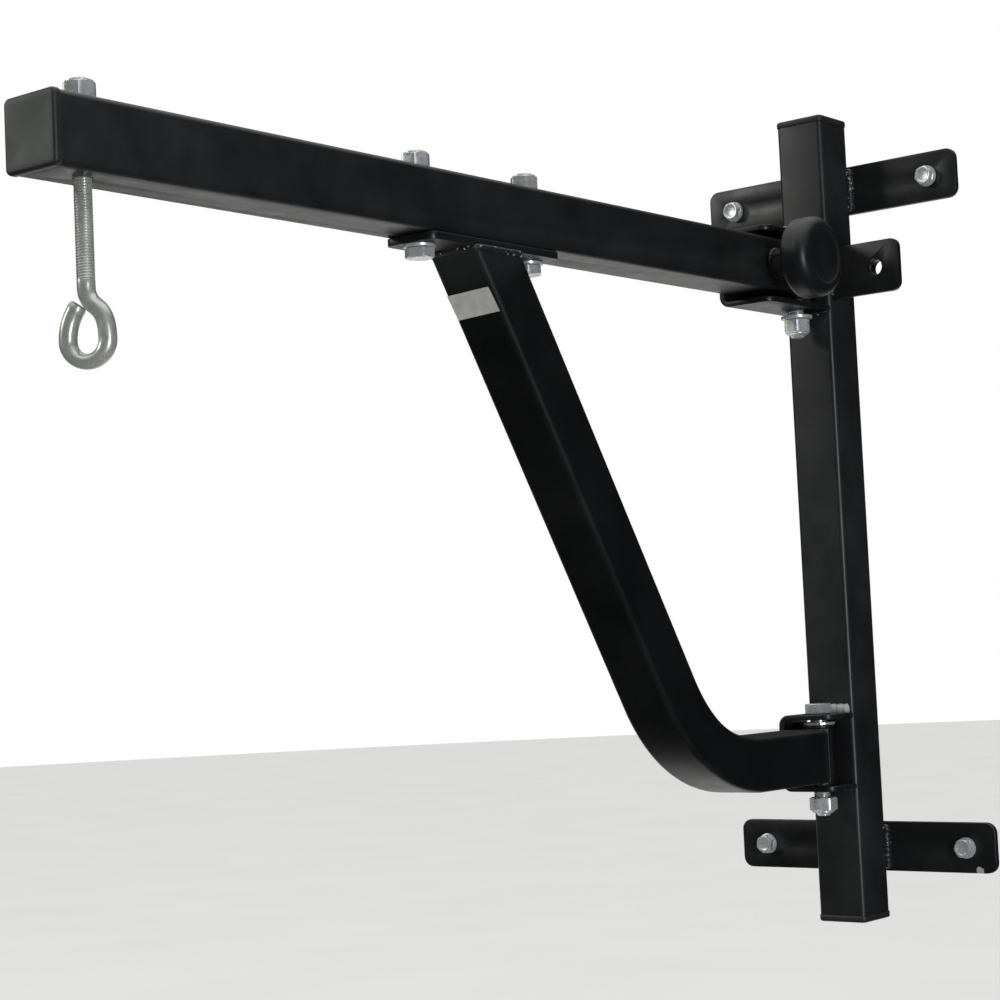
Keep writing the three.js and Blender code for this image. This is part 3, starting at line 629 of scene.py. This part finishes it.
def thread_rings(size, start, end, depth=None):
    """Rings of a threaded bar from start to end, with its last turn chamfered away."""
    pitch = PITCH[size]
    depth = depth or 0.6 * pitch
    count = max(2, round(abs(end - start) / pitch * ROWS_A_TURN))
    rings = []
    for i in range(count + 1):
        z = start + (end - start) * i / count
        left = abs(end - z)
        ring = []
        for a in ANGLES:
            phase = (z / pitch - a / (2 * math.pi)) % 1
            groove = depth * (1 - abs(2 * phase - 1))
            reach = min(size / 2 - groove, size / 2 - 0.9 * pitch + left)
            ring.append(Vector((reach * math.cos(a), reach * math.sin(a), z)))
        rings.append(ring)
    return rings


def hex_bolt(size, head, length, threaded, dish):
    """Bolt with its head standing on z = 0 and its shank below."""
    flats = FLATS[size]
    rings = [round_ring(0.27 * flats, head - dish), round_ring(0.33 * flats, head - 0.75 * dish)]
    rings += [round_ring(0.38 * flats, head - 0.1 * dish), round_ring(0.41 * flats, head)]
    rings += [round_ring(0.465 * flats, head), hex_ring(flats, head, 1)]
    rings += [hex_ring(flats, 0.35, 0), round_ring(0.46 * flats, 0), round_ring(size / 2 + 0.3, 0)]
    rings += [round_ring(size / 2, -0.4)]
    if threaded:
        rings += [round_ring(size / 2, threaded - length + 0.5)]
        rings += thread_rings(size, threaded - length, -length)
    else:
        rings += [round_ring(size / 2, 0.5 - length), round_ring(size / 2 - 0.5, -length)]
    return skin(rings)


def plain_nut(size, height):
    """Hexagon nut with both ends chamfered."""
    flats, bore = FLATS[size], size / 2 + 0.25
    rings = [round_ring(bore, 0.8), round_ring(bore + 0.7, 0), round_ring(0.465 * flats, 0)]
    rings += [hex_ring(flats, 0, -1), hex_ring(flats, height, 1), round_ring(0.465 * flats, height)]
    rings += [round_ring(bore + 0.7, height), round_ring(bore, height - 0.8)]
    return skin(rings, joined=True)


def lock_nut(size, height):
    """Hexagon with a rolled collar. The collar's lip leaves room for the nylon ring."""
    flats, bore = FLATS[size], size / 2 + 0.25
    hexagon, collar = 0.86 * height, 0.45 * flats
    lip = 0.74 * collar
    rings = [round_ring(bore, 0.8), round_ring(bore + 0.7, 0), round_ring(0.465 * flats, 0)]
    rings += [hex_ring(flats, 0, -1), hex_ring(flats, hexagon, 1), round_ring(0.468 * flats, hexagon)]
    rings += [round_ring(collar, hexagon + 0.2)]
    for k in range(6):
        a = math.pi / 2 * k / 5
        spread = (collar - lip) * (1 - math.sin(a) * 0.85)
        rings.append(round_ring(lip + spread, height - (height - hexagon - 0.5) * (1 - math.sin(a)) * 0.8))
    rings += [round_ring(lip, height - 0.15), round_ring(lip, height - 0.9), round_ring(bore, height - 1.2)]
    return skin(rings, joined=True)


def nylon_ring(size, height):
    """Ring that grips the thread, just under the collar's lip."""
    inner, outer = size / 2 + 0.05, 0.45 * FLATS[size] * 0.74 - 0.05
    rings = [round_ring(inner, height - 1.1), round_ring(outer, height - 1.1)]
    rings += [round_ring(outer, height - 0.5), round_ring(inner + 0.4, height - 0.35)]
    rings.append(round_ring(inner, height - 0.6))
    return skin(rings, joined=True)


def ring_washer(hole, outer, thick):
    """Punched washer: rounded over on its upper side and sharp on its lower one."""
    rings = [round_ring(hole / 2, 0.1), round_ring(hole / 2, thick - 0.3), round_ring(hole / 2 + 0.3, thick)]
    rings += [round_ring(outer / 2 - 0.5, thick), round_ring(outer / 2 - 0.15, thick - 0.15)]
    rings += [round_ring(outer / 2, thick - 0.5), round_ring(outer / 2, 0.1), round_ring(outer / 2 - 0.1, 0)]
    rings += [round_ring(hole / 2 + 0.1, 0)]
    return skin(rings, joined=True)


def metal(name, form, origin, axes, body, *stands_for, finish=None, slot="zinc", turn=0.0):
    """Metal piece from a skin, in zinc plate unless told otherwise."""
    piece = finish_shape(make(name, form, origin, axes, turn), sharp=24)
    return fit(piece, body, finish or bright_zinc, slot, *stands_for)


def self_locking_nut(node, size, seat, axes, body, turn, ring_name):
    """Lock nut for a packed one, with its nylon ring. Returns its height."""
    low, high, _ = place_of(node)
    height = high.z - low.z
    metal(f"{node}_locking", lock_nut(size, height), seat, axes, body, node, turn=turn)
    ring = finish_shape(make(ring_name, nylon_ring(size, height), seat, axes))
    fit(ring, body, ring_nylon, "nylon")
    return height


print("hexagon corner reach on 19 mm flats:", round(hex_reach(0, FLATS[M12]), 2), "mm")

# %% [markdown]
# Four bolts hold the plates to the wall. Their heads are cold forged, which leaves a shallow round dish in
# the top. Each was stopped at its own angle when it was tightened.

# %% Wall bolts and their washers
HEAD_TURNS = {"upper_left": 8, "upper_right": 14, "lower_left": 24, "lower_right": 4}
for corner, turn in HEAD_TURNS.items():
    node = f"anchor_{corner}_bolt"
    low, high, middle = place_of(node)
    washer_low, washer_high, _ = place_of(f"anchor_{corner}_washer")
    face = Vector((middle.x, washer_low.y - 0.1, middle.z))
    head = face.y - low.y
    form = hex_bolt(M8, head, high.y - face.y, 0, 0.7)
    metal(f"{node}_forged", form, face, TO_ROOM, "wall_frame", node, turn=turn)
    form = ring_washer(M8 + HOLE_ROOM, 16, washer_high.y - washer_low.y)
    seat = Vector((middle.x, washer_high.y, middle.z))
    metal(f"anchor_{corner}_washer_punched", form, seat, TO_ROOM, "wall_frame", f"anchor_{corner}_washer")
print("wall bolt heads stand", round(head, 1), "mm high")

# %% [markdown]
# The two pivot bolts are M12 with self-locking nuts, because a nut that carries a swinging joint must not be
# tightened hard and would shake loose. A bare length of shank shows above each nut.

# %% Pivot bolts
M12_HEAD, M12_THREADED = 7.5, 30
for level_name, turn in (("upper", 0), ("lower", 30)):
    node = f"{level_name}_pivot_bolt"
    low, high, middle = place_of(node)
    seat = Vector((0, hinge, high.z - M12_HEAD))
    form = hex_bolt(M12, M12_HEAD, seat.z - low.z, M12_THREADED, 0.6)
    metal(f"{node}_threaded", form, seat, (X, Y, Z), "wall_frame", node, turn=10)
    name = f"{level_name}_pivot_nut"
    seat = Vector((0, hinge, place_of(name)[1].z))
    height = self_locking_nut(name, M12, seat, FLIPPED, "wall_frame", turn, f"{name}_nylon")
low, high, _ = place_of("upper_pivot_washer")
form = ring_washer(M12 + HOLE_ROOM, 24, high.z - low.z)
metal("upper_pivot_washer_punched", form, (0, hinge, high.z), FLIPPED, "wall_frame", "upper_pivot_washer")
print("pivot nuts", round(height, 1), "mm high")

# %% [markdown]
# Two M10 bolts go up through the brace's flange and the arm, with a washer at each end and a self-locking
# nut on top.

# %% Brace bolts
M10_HEAD, M10_THREADED = 6.4, 24
for i in (1, 2):
    node = f"brace_bolt_{i}"
    low, high, middle = place_of(node)
    seat = Vector((0, middle.y, low.z + M10_HEAD))
    form = hex_bolt(M10, M10_HEAD, high.z - seat.z, M10_THREADED, 0.6)
    metal(f"{node}_threaded", form, seat, FLIPPED, "arm", node, turn=12 + 20 * i)
    for side in ("lower", "upper"):
        name = f"{node}_washer_{side}"
        low, high, _ = place_of(name)
        form = ring_washer(M10 + HOLE_ROOM, 20, high.z - low.z)
        up = side == "upper"
        seat = (0, middle.y, low.z if up else high.z)
        metal(f"{name}_punched", form, seat, (X, Y, Z) if up else FLIPPED, "arm", name)
    seat = (0, middle.y, place_of(f"{node}_nut")[0].z)
    self_locking_nut(f"{node}_nut", M10, seat, (X, Y, Z), "arm", 7 * i, f"{node}_nylon")
print("brace bolts", round(pins[1].y - pins[0].y), "mm apart")

# %% [markdown]
# The bag hangs from an eye bolt: 10 mm bar, threaded for most of its length and bent round a peg at its
# lower end. The bar leaves its own line to one side, goes round, and stops just short of the shank. Bending
# flattens the bar a little at the bottom of the eye. The bar's middle line is drawn first, and rings are set
# square to it all the way, with the thread's groove where the thread is.

# %% Eye bolt
EYE_RADIUS, EYE_TURN, EYE_HEIGHT = 11.3, 25.0, -175.8
NECK_TOP, NECK_PULL_UP, NECK_PULL_DOWN = 29.0, 14.0, 22.0
CUT_END, CUT_LEAN, CUT_PULL = (-4.6, 18.8), 38.0, 7.0
BAR_RADIUS, BAR_FLATTENED, BAR_WIDENED, CUT_TRIM = 4.9, 0.75, 0.1, 0.86
THREAD_END, THREAD_DEPTH = 32.0, 0.32
low, high, _ = place_of("eye_bolt")
eye_line = Vector((0, place_of("eye_nut")[2].y, 0))
shank_top = high.z - EYE_HEIGHT


def bezier(a, b, c, d, t):
    """Point at t, from 0 to 1, on the curve from a to d that b and c pull on."""
    s = 1 - t
    return a * s**3 + b * 3 * s * s * t + c * 3 * s * t * t + d * t**3


def eye_middle_line():
    """Points of the bent part's middle line as (sideways, up), from the straight shank to the cut end."""
    side, below = Vector((EYE_RADIUS, 0)), Vector((EYE_RADIUS, NECK_PULL_DOWN))
    top, pull = Vector((0, NECK_TOP)), Vector((0, NECK_PULL_UP))
    line = [bezier(top, pull, below, side, k / 20) for k in range(21)]
    for k in range(1, 33):
        a = -math.pi * k / 32
        line.append(EYE_RADIUS * Vector((math.cos(a), math.sin(a))))
    lean, cut = math.radians(CUT_LEAN), Vector(CUT_END)
    before = cut - CUT_PULL * Vector((math.sin(lean), math.cos(lean)))
    line += [bezier(-side, Vector((-EYE_RADIUS, CUT_PULL)), before, cut, k / 12) for k in range(1, 13)]
    return line


# The thread is rolled, and plating has filled its roots, so its groove is drawn a third as deep as a cut one.
rings = thread_rings(M10, THREAD_END, shank_top, THREAD_DEPTH)[::-1]
rings.append([Vector((0.98 * p.x, 0.98 * p.y, THREAD_END - 0.6)) for p in round_ring(M10 / 2, 0)])
line = eye_middle_line()
for i, at in enumerate(line):
    way = (line[min(i + 1, len(line) - 1)] - line[max(i - 1, 0)]).normalized()
    out = Vector((-way.y, way.x))
    sag = max(0.0, -at.y / EYE_RADIUS) ** 2
    trim = CUT_TRIM if i == len(line) - 1 else 1.0
    thick, wide = (BAR_RADIUS - BAR_FLATTENED * sag) * trim, (BAR_RADIUS + BAR_WIDENED * sag) * trim
    ring = []
    for a in ANGLES:
        side = out * thick * math.cos(a)
        ring.append(Vector((at.x + side.x, wide * math.sin(a), at.y + side.y)))
    rings.append(ring)
eye = make("eye_bolt_bent", skin(rings), (0, eye_line.y, EYE_HEIGHT), (X, Y, Z), EYE_TURN)
fit(finish_shape(eye, sharp=30), "eye", dull_zinc, "dull_zinc", "eye_bolt")
low, high, _ = place_of("eye_washer")
form = ring_washer(M10 + HOLE_ROOM, 20, high.z - low.z)
metal("eye_washer_punched", form, (0, eye_line.y, low.z), (X, Y, Z), "arm", "eye_washer")
seat = (0, eye_line.y, place_of("eye_nut")[0].z)
self_locking_nut("eye_nut", M10, seat, (X, Y, Z), "eye", 16, "eye_nut_nylon")
print("eye bolt from", round(shank_top + EYE_HEIGHT, 1), "down to", round(place_of("eye_bolt")[0].z, 1), "mm")

# %% [markdown]
# The arm is locked by a hand screw: a nut welded to the arm, an M12 screw through it, and a round plastic
# knob 60 mm across. A second nut is welded behind the wing, for when the arm is stored. The knob is round,
# so its profile is spun about the screw's line, with a hub, a rounded rim and a dished face.

# %% Lock screw and knob
low, high, middle = place_of("lock_screw")
form = skin(thread_rings(M12, 0, high.x - low.x))
metal("lock_screw_threaded", form, (low.x, middle.y, middle.z), ALONG_X, "lock_screw", "lock_screw")
coat = {"finish": coated_steel, "slot": "powder_coat"}
low, high, middle = place_of("lock_weld_nut")
seat, form = (low.x, middle.y, middle.z), plain_nut(M12, high.x - low.x)
metal("lock_weld_nut_coated", form, seat, ALONG_X, "arm", "lock_weld_nut", **coat)
low, high, middle = place_of("wing_weld_nut")
seat, form = (middle.x, high.y, middle.z), plain_nut(M12, high.y - low.y)
metal("wing_nut_coated", form, seat, TO_ROOM, "wall_frame", "wing_weld_nut", **coat)

low, high, middle = place_of("lock_knob")
HUB, RIM, EDGE, FACE_ROUND, KNOB_R = 4.0, 22.5, 5.0, 8.5, 30.0
KNOB_SIDES = 96
profile = [(6.3, 15), (6.3, 0.4), (6.7, 0), (12.4, 0), (13, 0.5), (13, HUB - 0.6), (13.6, HUB)]
for k in range(11):
    a = -math.pi / 2 + math.pi / 2 * k / 10
    profile.append((KNOB_R - EDGE + EDGE * math.cos(a), HUB + EDGE + EDGE * math.sin(a)))
top = HUB + RIM
for k in range(17):
    a = math.pi / 2 * k / 16
    profile.append((KNOB_R + FACE_ROUND * (math.cos(a) - 1), top + FACE_ROUND * (math.sin(a) - 1)))
profile += [(20.6, top - 0.1), (20.1, top - 0.45), (18.5, top - 0.8)]
profile += [(14, top - 1.2), (8, top - 1.45), (2, top - 1.5)]
around = [2 * math.pi * i / KNOB_SIDES for i in range(KNOB_SIDES)]
rings = [[Vector((r * math.cos(a), r * math.sin(a), z)) for a in around] for r, z in profile]
knob = finish_shape(make("lock_knob_moulded", skin(rings), (low.x, middle.y, middle.z), ALONG_X), sharp=50)
fit(knob, "lock_knob", knob_plastic, "black_plastic", "lock_knob")
print("knob", round(2 * KNOB_R), "mm across, its face", round(low.x + top, 1), "mm from the arm's middle")

# %% [markdown]
# The pivot blocks, bushes and thrust washers sit in the brackets and hardly show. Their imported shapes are
# right, so they stay and get a finish and a small rounding. Their points are first joined, because the
# packed file keeps a separate corner for every face.

# %% Pieces inside the brackets
kept = {
    "powder_coat": (coated_steel, ["arm_pivot_block", "brace_pivot_block"]),
    "nylon": (bush_nylon, [f"{name}_bush_{side}" for name in ("arm", "brace") for side in ("top", "bottom")]),
    "zinc": (bright_zinc, ["arm_thrust_washer_top", "arm_thrust_washer_bottom", "brace_thrust_washer_top"]),
}
for slot, (finish, nodes) in kept.items():
    for node in nodes:
        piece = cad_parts[node]
        for i in range(len(piece.material_slots)):
            piece.material_slots[i].material = finish
        piece.modifiers.new("join", "WELD").merge_threshold = 0.002 * MM
        rounding = piece.modifiers.new("edge", "BEVEL")
        rounding.width, rounding.segments, rounding.limit_method = 0.25 * MM, 2, "ANGLE"
        rounding.angle_limit = math.radians(40)
print("kept", sum(len(nodes) for _, nodes in kept.values()), "packed pieces")

# %% [markdown]
# The sticker is stuck a little askew and its corners have begun to lift, the lower one by about half a
# millimetre. It is a fine sheet of squares, bowed in code and given the thickness of paper.

# %% Sticker on the brace
low, high, middle = place_of("brace_label")
LABEL_WIDTH, LABEL_HEIGHT, ASKEW = 35, 17.5, math.radians(3)
columns, rows = 24, 12
points, faces = [], []
for layer in (0.05, 0.3):
    for j in range(rows + 1):
        for i in range(columns + 1):
            u, v = LABEL_WIDTH * (i / columns - 0.5), LABEL_HEIGHT * (j / rows - 0.5)
            lift = 0.35 * max(0.0, (u + v) / 26) ** 6 + 0.2 * max(0.0, (-u - v) / 26) ** 6
            side = u * math.cos(ASKEW) - v * math.sin(ASKEW)
            fall = u * math.sin(ASKEW) + v * math.cos(ASKEW)
            points.append(middle + X * side - down * fall + outward * (layer + lift - 0.1))
sheet = (columns + 1) * (rows + 1)
for j in range(rows):
    for i in range(columns):
        a = j * (columns + 1) + i
        square = (a, a + 1, a + columns + 2, a + columns + 1)
        faces += [square[::-1], tuple(p + sheet for p in square)]
rim = list(range(columns))
rim += [columns + j * (columns + 1) for j in range(rows)]
rim += [rows * (columns + 1) + i for i in range(columns, 0, -1)]
rim += [j * (columns + 1) for j in range(rows, 0, -1)]
faces += [(a, b, b + sheet, a + sheet) for a, b in zip(rim, rim[1:] + rim[:1])]
label = finish_shape(make("brace_sticker", (points, faces)))
fit(label, "arm", label_paper, "label_film", "brace_label")
print("sticker", len(label.data.polygons), "faces")

# %% [markdown]
# A weld bead is a row of overlapping puddles, a little irregular, each 2.6 mm long or up to 6 mm on heavy
# beads. It is laid along a joint as a round bar half sunk in the corner, whose radius swells and pinches
# once a puddle. Most beads were coated with the rest, and their light grey specks are partly bare metal and
# partly painted highlight. The one over the lower bracket is light grey all over: bare metal and painted
# highlight.

# %% Weld beads
BEAD_SIDES, BEAD_STEP = 14, 0.55


def weld(name, path, body, size=2.3, finish=None, closed=False, puddle=2.6):
    """Bead along a path of corner points, in millimetres."""
    path = [Vector(p) for p in path] + ([Vector(path[0])] if closed else [])
    spots = []
    for a, b in zip(path, path[1:]):
        parts = max(2, round((b - a).length / BEAD_STEP))
        spots += [(a.lerp(b, k / parts), (b - a).normalized()) for k in range(parts)]
    if not closed:
        spots.append((path[-1], (path[-1] - path[-2]).normalized()))
    rings, gone = [], 0.0
    for i, (at, way) in enumerate(spots):
        gone += (at - spots[i - 1][0]).length if i else 0.0
        side = way.orthogonal().normalized() if abs(way.z) > 0.9 else way.cross(Z).normalized()
        other = way.cross(side)
        swell = 0.80 + 0.20 * abs(math.sin(math.pi * gone / puddle)) ** 0.6
        ends = min(1.0, 0.35 + 0.3 * min(i, len(spots) - 1 - i)) if not closed else 1.0
        wander = 0.25 * noise.noise(at * 0.31 + Vector((size, 0, 0)))
        ring = []
        for k in range(BEAD_SIDES):
            a = 2 * math.pi * k / BEAD_SIDES
            rough = 1 + 0.10 * noise.noise(at * 0.9 + Vector((k * 3.1, 0, size)))
            reach = size * swell * ends * rough
            ring.append(at + side * (reach * math.cos(a) + wander) + other * reach * math.sin(a))
        rings.append(ring)
    bead = finish_shape(make(name, skin(rings, joined=closed)), sharp=60)
    return fit(bead, body, finish or coated_weld, "powder_coat")


post_low = place_of("wall_post")[0]
plate_face = place_of("wall_plate_upper")[0].y
for level_name in ("upper", "lower"):
    low, high, _ = place_of(f"wall_plate_{level_name}")
    for side, sx in (("left", -1), ("right", 1)):
        x = sx * (TUBE / 2 + 0.3)
        path = [(x, plate_face - 1.0, low.z + 2), (x, plate_face - 1.0, high.z - 2)]
        weld(f"weld_plate_{level_name}_{side}", path, "wall_frame", 3.8, puddle=4.0)
for level_name, node in (("upper", "upper_bracket"), ("lower", "lower_bracket")):
    low, high, _ = place_of(node)
    for side, z in (("top", high.z + 0.2), ("bottom", low.z - 0.2)):
        # The bead over the lower bracket is drawn light grey all over, as bare metal that also stands in for
        # its highlight.
        bare = (level_name, side) == ("lower", "top")
        lift, size, start = (2.2, 4.5, -17) if bare else (0.0, 2.1, -16)
        path = [(start, post_low.y - 0.3, z + lift), (17, post_low.y - 0.3, z + lift)]
        puddle, finish = (6.0, bare_bead_and_painted_highlight) if bare else (2.6, coated_weld)
        weld(f"weld_{node}_{side}", path, "wall_frame", size, finish, puddle=puddle)
path = [(TUBE / 2 + 0.2, wing_low.y - 0.2, z) for z in (wing_low.z + 2, wing_high.z - 2)]
weld("weld_wing_front", path, "wall_frame", 1.9)
path = [(x, wing_high.y + 0.2, z) for x, _, z in path]
weld("weld_wing_back", path, "wall_frame", 1.9)
top = brace_top.z - 0.8
lean_half = TUBE / 2 / math.cos(LEAN)
corners = [(-18, -1), (18, -1), (20.2, -0.86), (20.2, 0.86), (18, 1), (-18, 1), (-20.2, 0.86), (-20.2, -0.86)]
path = [(x, brace_top.y + s * lean_half, top) for x, s in corners]
weld("weld_brace_top", path, "arm", 2.2, closed=True)
nut_low = place_of("lock_weld_nut")[0]
around = [2 * math.pi * k / 24 for k in range(24)]
path = [(nut_low.x + 0.2, lock_line.y + 10.2 * math.cos(a), lock_line.z + 10.2 * math.sin(a)) for a in around]
weld("weld_lock_nut", path, "arm", 1.5, finish=coated_steel, closed=True)

# %% [markdown]
# The room has a plain pale floor and a soft light overhead. Black steel is drawn by what it mirrors, so the
# air near eye level is dim, and only the floor behind left, which the undersides face, is mirrored. A soft
# box far to the front left lights the faces that look that way. A narrow upright lamp on the right draws the
# thin lines along the round corners. The camera itself sees white behind the object.

# %% Floor, light and sky
floor_z = cad_low.z - 0.45


def floor_part(name, start, end, radius=14000):
    """Flat wedge of floor between two bearings in degrees, in millimetres."""
    arc = [math.radians(start + (end - start) * k / 64) for k in range(65)]
    points = [Vector((0, 0, 0))] + [Vector((radius * math.cos(a), radius * math.sin(a), 0)) for a in arc]
    return make(name, (points, [(0, k, k + 1) for k in range(1, 65)]), (0, 0, floor_z / MM))


floor_paint, tree, surface, place = new_finish("pale_floor_paint")
tone = tones(tree, pattern(tree, place, 300, 2.0), (0.3, "f3f3f1"), (0.7, "f6f6f4"))
tree.links.new(tone, surface.inputs["Base Color"])
surface.inputs["Roughness"].default_value = 0.9
surface.inputs["Specular IOR Level"].default_value = 0.1
behind_left = floor_part("floor_behind_left", 88, 176)
rest_of_it = floor_part("floor_around", 176, 448)
rest_of_it.visible_glossy = False
for ground in (behind_left, rest_of_it):
    ground.data.materials.append(floor_paint)
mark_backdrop(behind_left, rest_of_it)

world = bpy.data.worlds.new("studio")
bpy.context.scene.world = world
world.use_nodes = True
tree = world.node_tree
tree.nodes.clear()
way = add(tree, "TexCoord").outputs["Generated"]
height = add(tree, "SeparateXYZ", {"Vector": way}).outputs["Z"]
sky = tones(tree, height, (0.50, "0f1112"), (0.85, "ffffff"))
room = add(tree, "Background", {"Color": sky, "Strength": 1.5})
behind = add(tree, "Background", {"Color": srgb("ffffff"), "Strength": 1.0})
seen = add(tree, "LightPath").outputs["Is Camera Ray"]
both = add(tree, "MixShader", {"Fac": seen, 1: room.outputs[0], 2: behind.outputs[0]})
add(tree, "OutputWorld", {"Surface": both.outputs[0]})


def soft_box(name, at, aim, width, height, watts, swatch):
    """Flat lamp that faces its aim. Places and sizes are in metres."""
    lamp = bpy.data.lights.new(name, "AREA")
    lamp.shape, lamp.size, lamp.size_y = "RECTANGLE", width, height
    lamp.energy, lamp.color = watts, srgb(swatch)[:3]
    holder = bpy.data.objects.new(name, lamp)
    holder.location = at
    holder.rotation_euler = (Vector(aim) - Vector(at)).to_track_quat("-Z", "Y").to_euler()
    bpy.context.scene.collection.objects.link(holder)


soft_box("front_left_box", (-3.2, -3.2, 1.5), (0, -0.5, -0.1), 1.4, 0.8, 42, "f2f6ee")
soft_box("right_strip", (2.2, -1.5, -0.3), (0, -0.3, -0.3), 0.10, 0.9, 24, "f4f8ff")
print("floor", round(floor_z, 3), "m, one soft box and one strip lamp")

# %% [markdown]
# The camera stands below the arm's height, to the right of the bracket, and looks up a little with a long
# lens. A slight roll tilts the upright post.

# %% Camera
SENSOR_MM, LENS_MM, CAMERA_AT = 36.0, 80.43, (0.8956, -1.5420, -0.3446)
AZIMUTH, RISE, ROLL = (math.radians(v) for v in (39.015, 3.70, -2.652))
ahead = Vector((-math.sin(AZIMUTH) * math.cos(RISE), math.cos(AZIMUTH) * math.cos(RISE), math.sin(RISE)))
level_right = Vector((math.cos(AZIMUTH), math.sin(AZIMUTH), 0))
level_up = level_right.cross(ahead)
right = level_right * math.cos(ROLL) + level_up * math.sin(ROLL)
up = level_up * math.cos(ROLL) - level_right * math.sin(ROLL)
lens = bpy.data.cameras.new("camera")
lens.sensor_width, lens.lens = SENSOR_MM, LENS_MM
lens.clip_start, lens.clip_end = 0.05, 60.0
camera = bpy.data.objects.new("camera", lens)
turned = Matrix((right, up, -ahead)).transposed().to_4x4()
camera.matrix_world = Matrix.Translation(CAMERA_AT) @ turned
bpy.context.scene.collection.objects.link(camera)
bpy.context.scene.camera = camera
bpy.context.scene.view_settings.view_transform = "Standard"
print("camera", round(lens.lens, 1), "mm lens")

# %% [markdown]
# Last, the finished bracket's box is compared with the imported one, and how far it grows past it is printed.
# Nothing may stand outside the packed box, because the sizes belong to the CAD.

# %% Compare the boxes and finish
low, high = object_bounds()
print("box grows by", [round(v / MM, 2) for v in (*(cad_low - low), *(high - cad_high))], "mm")
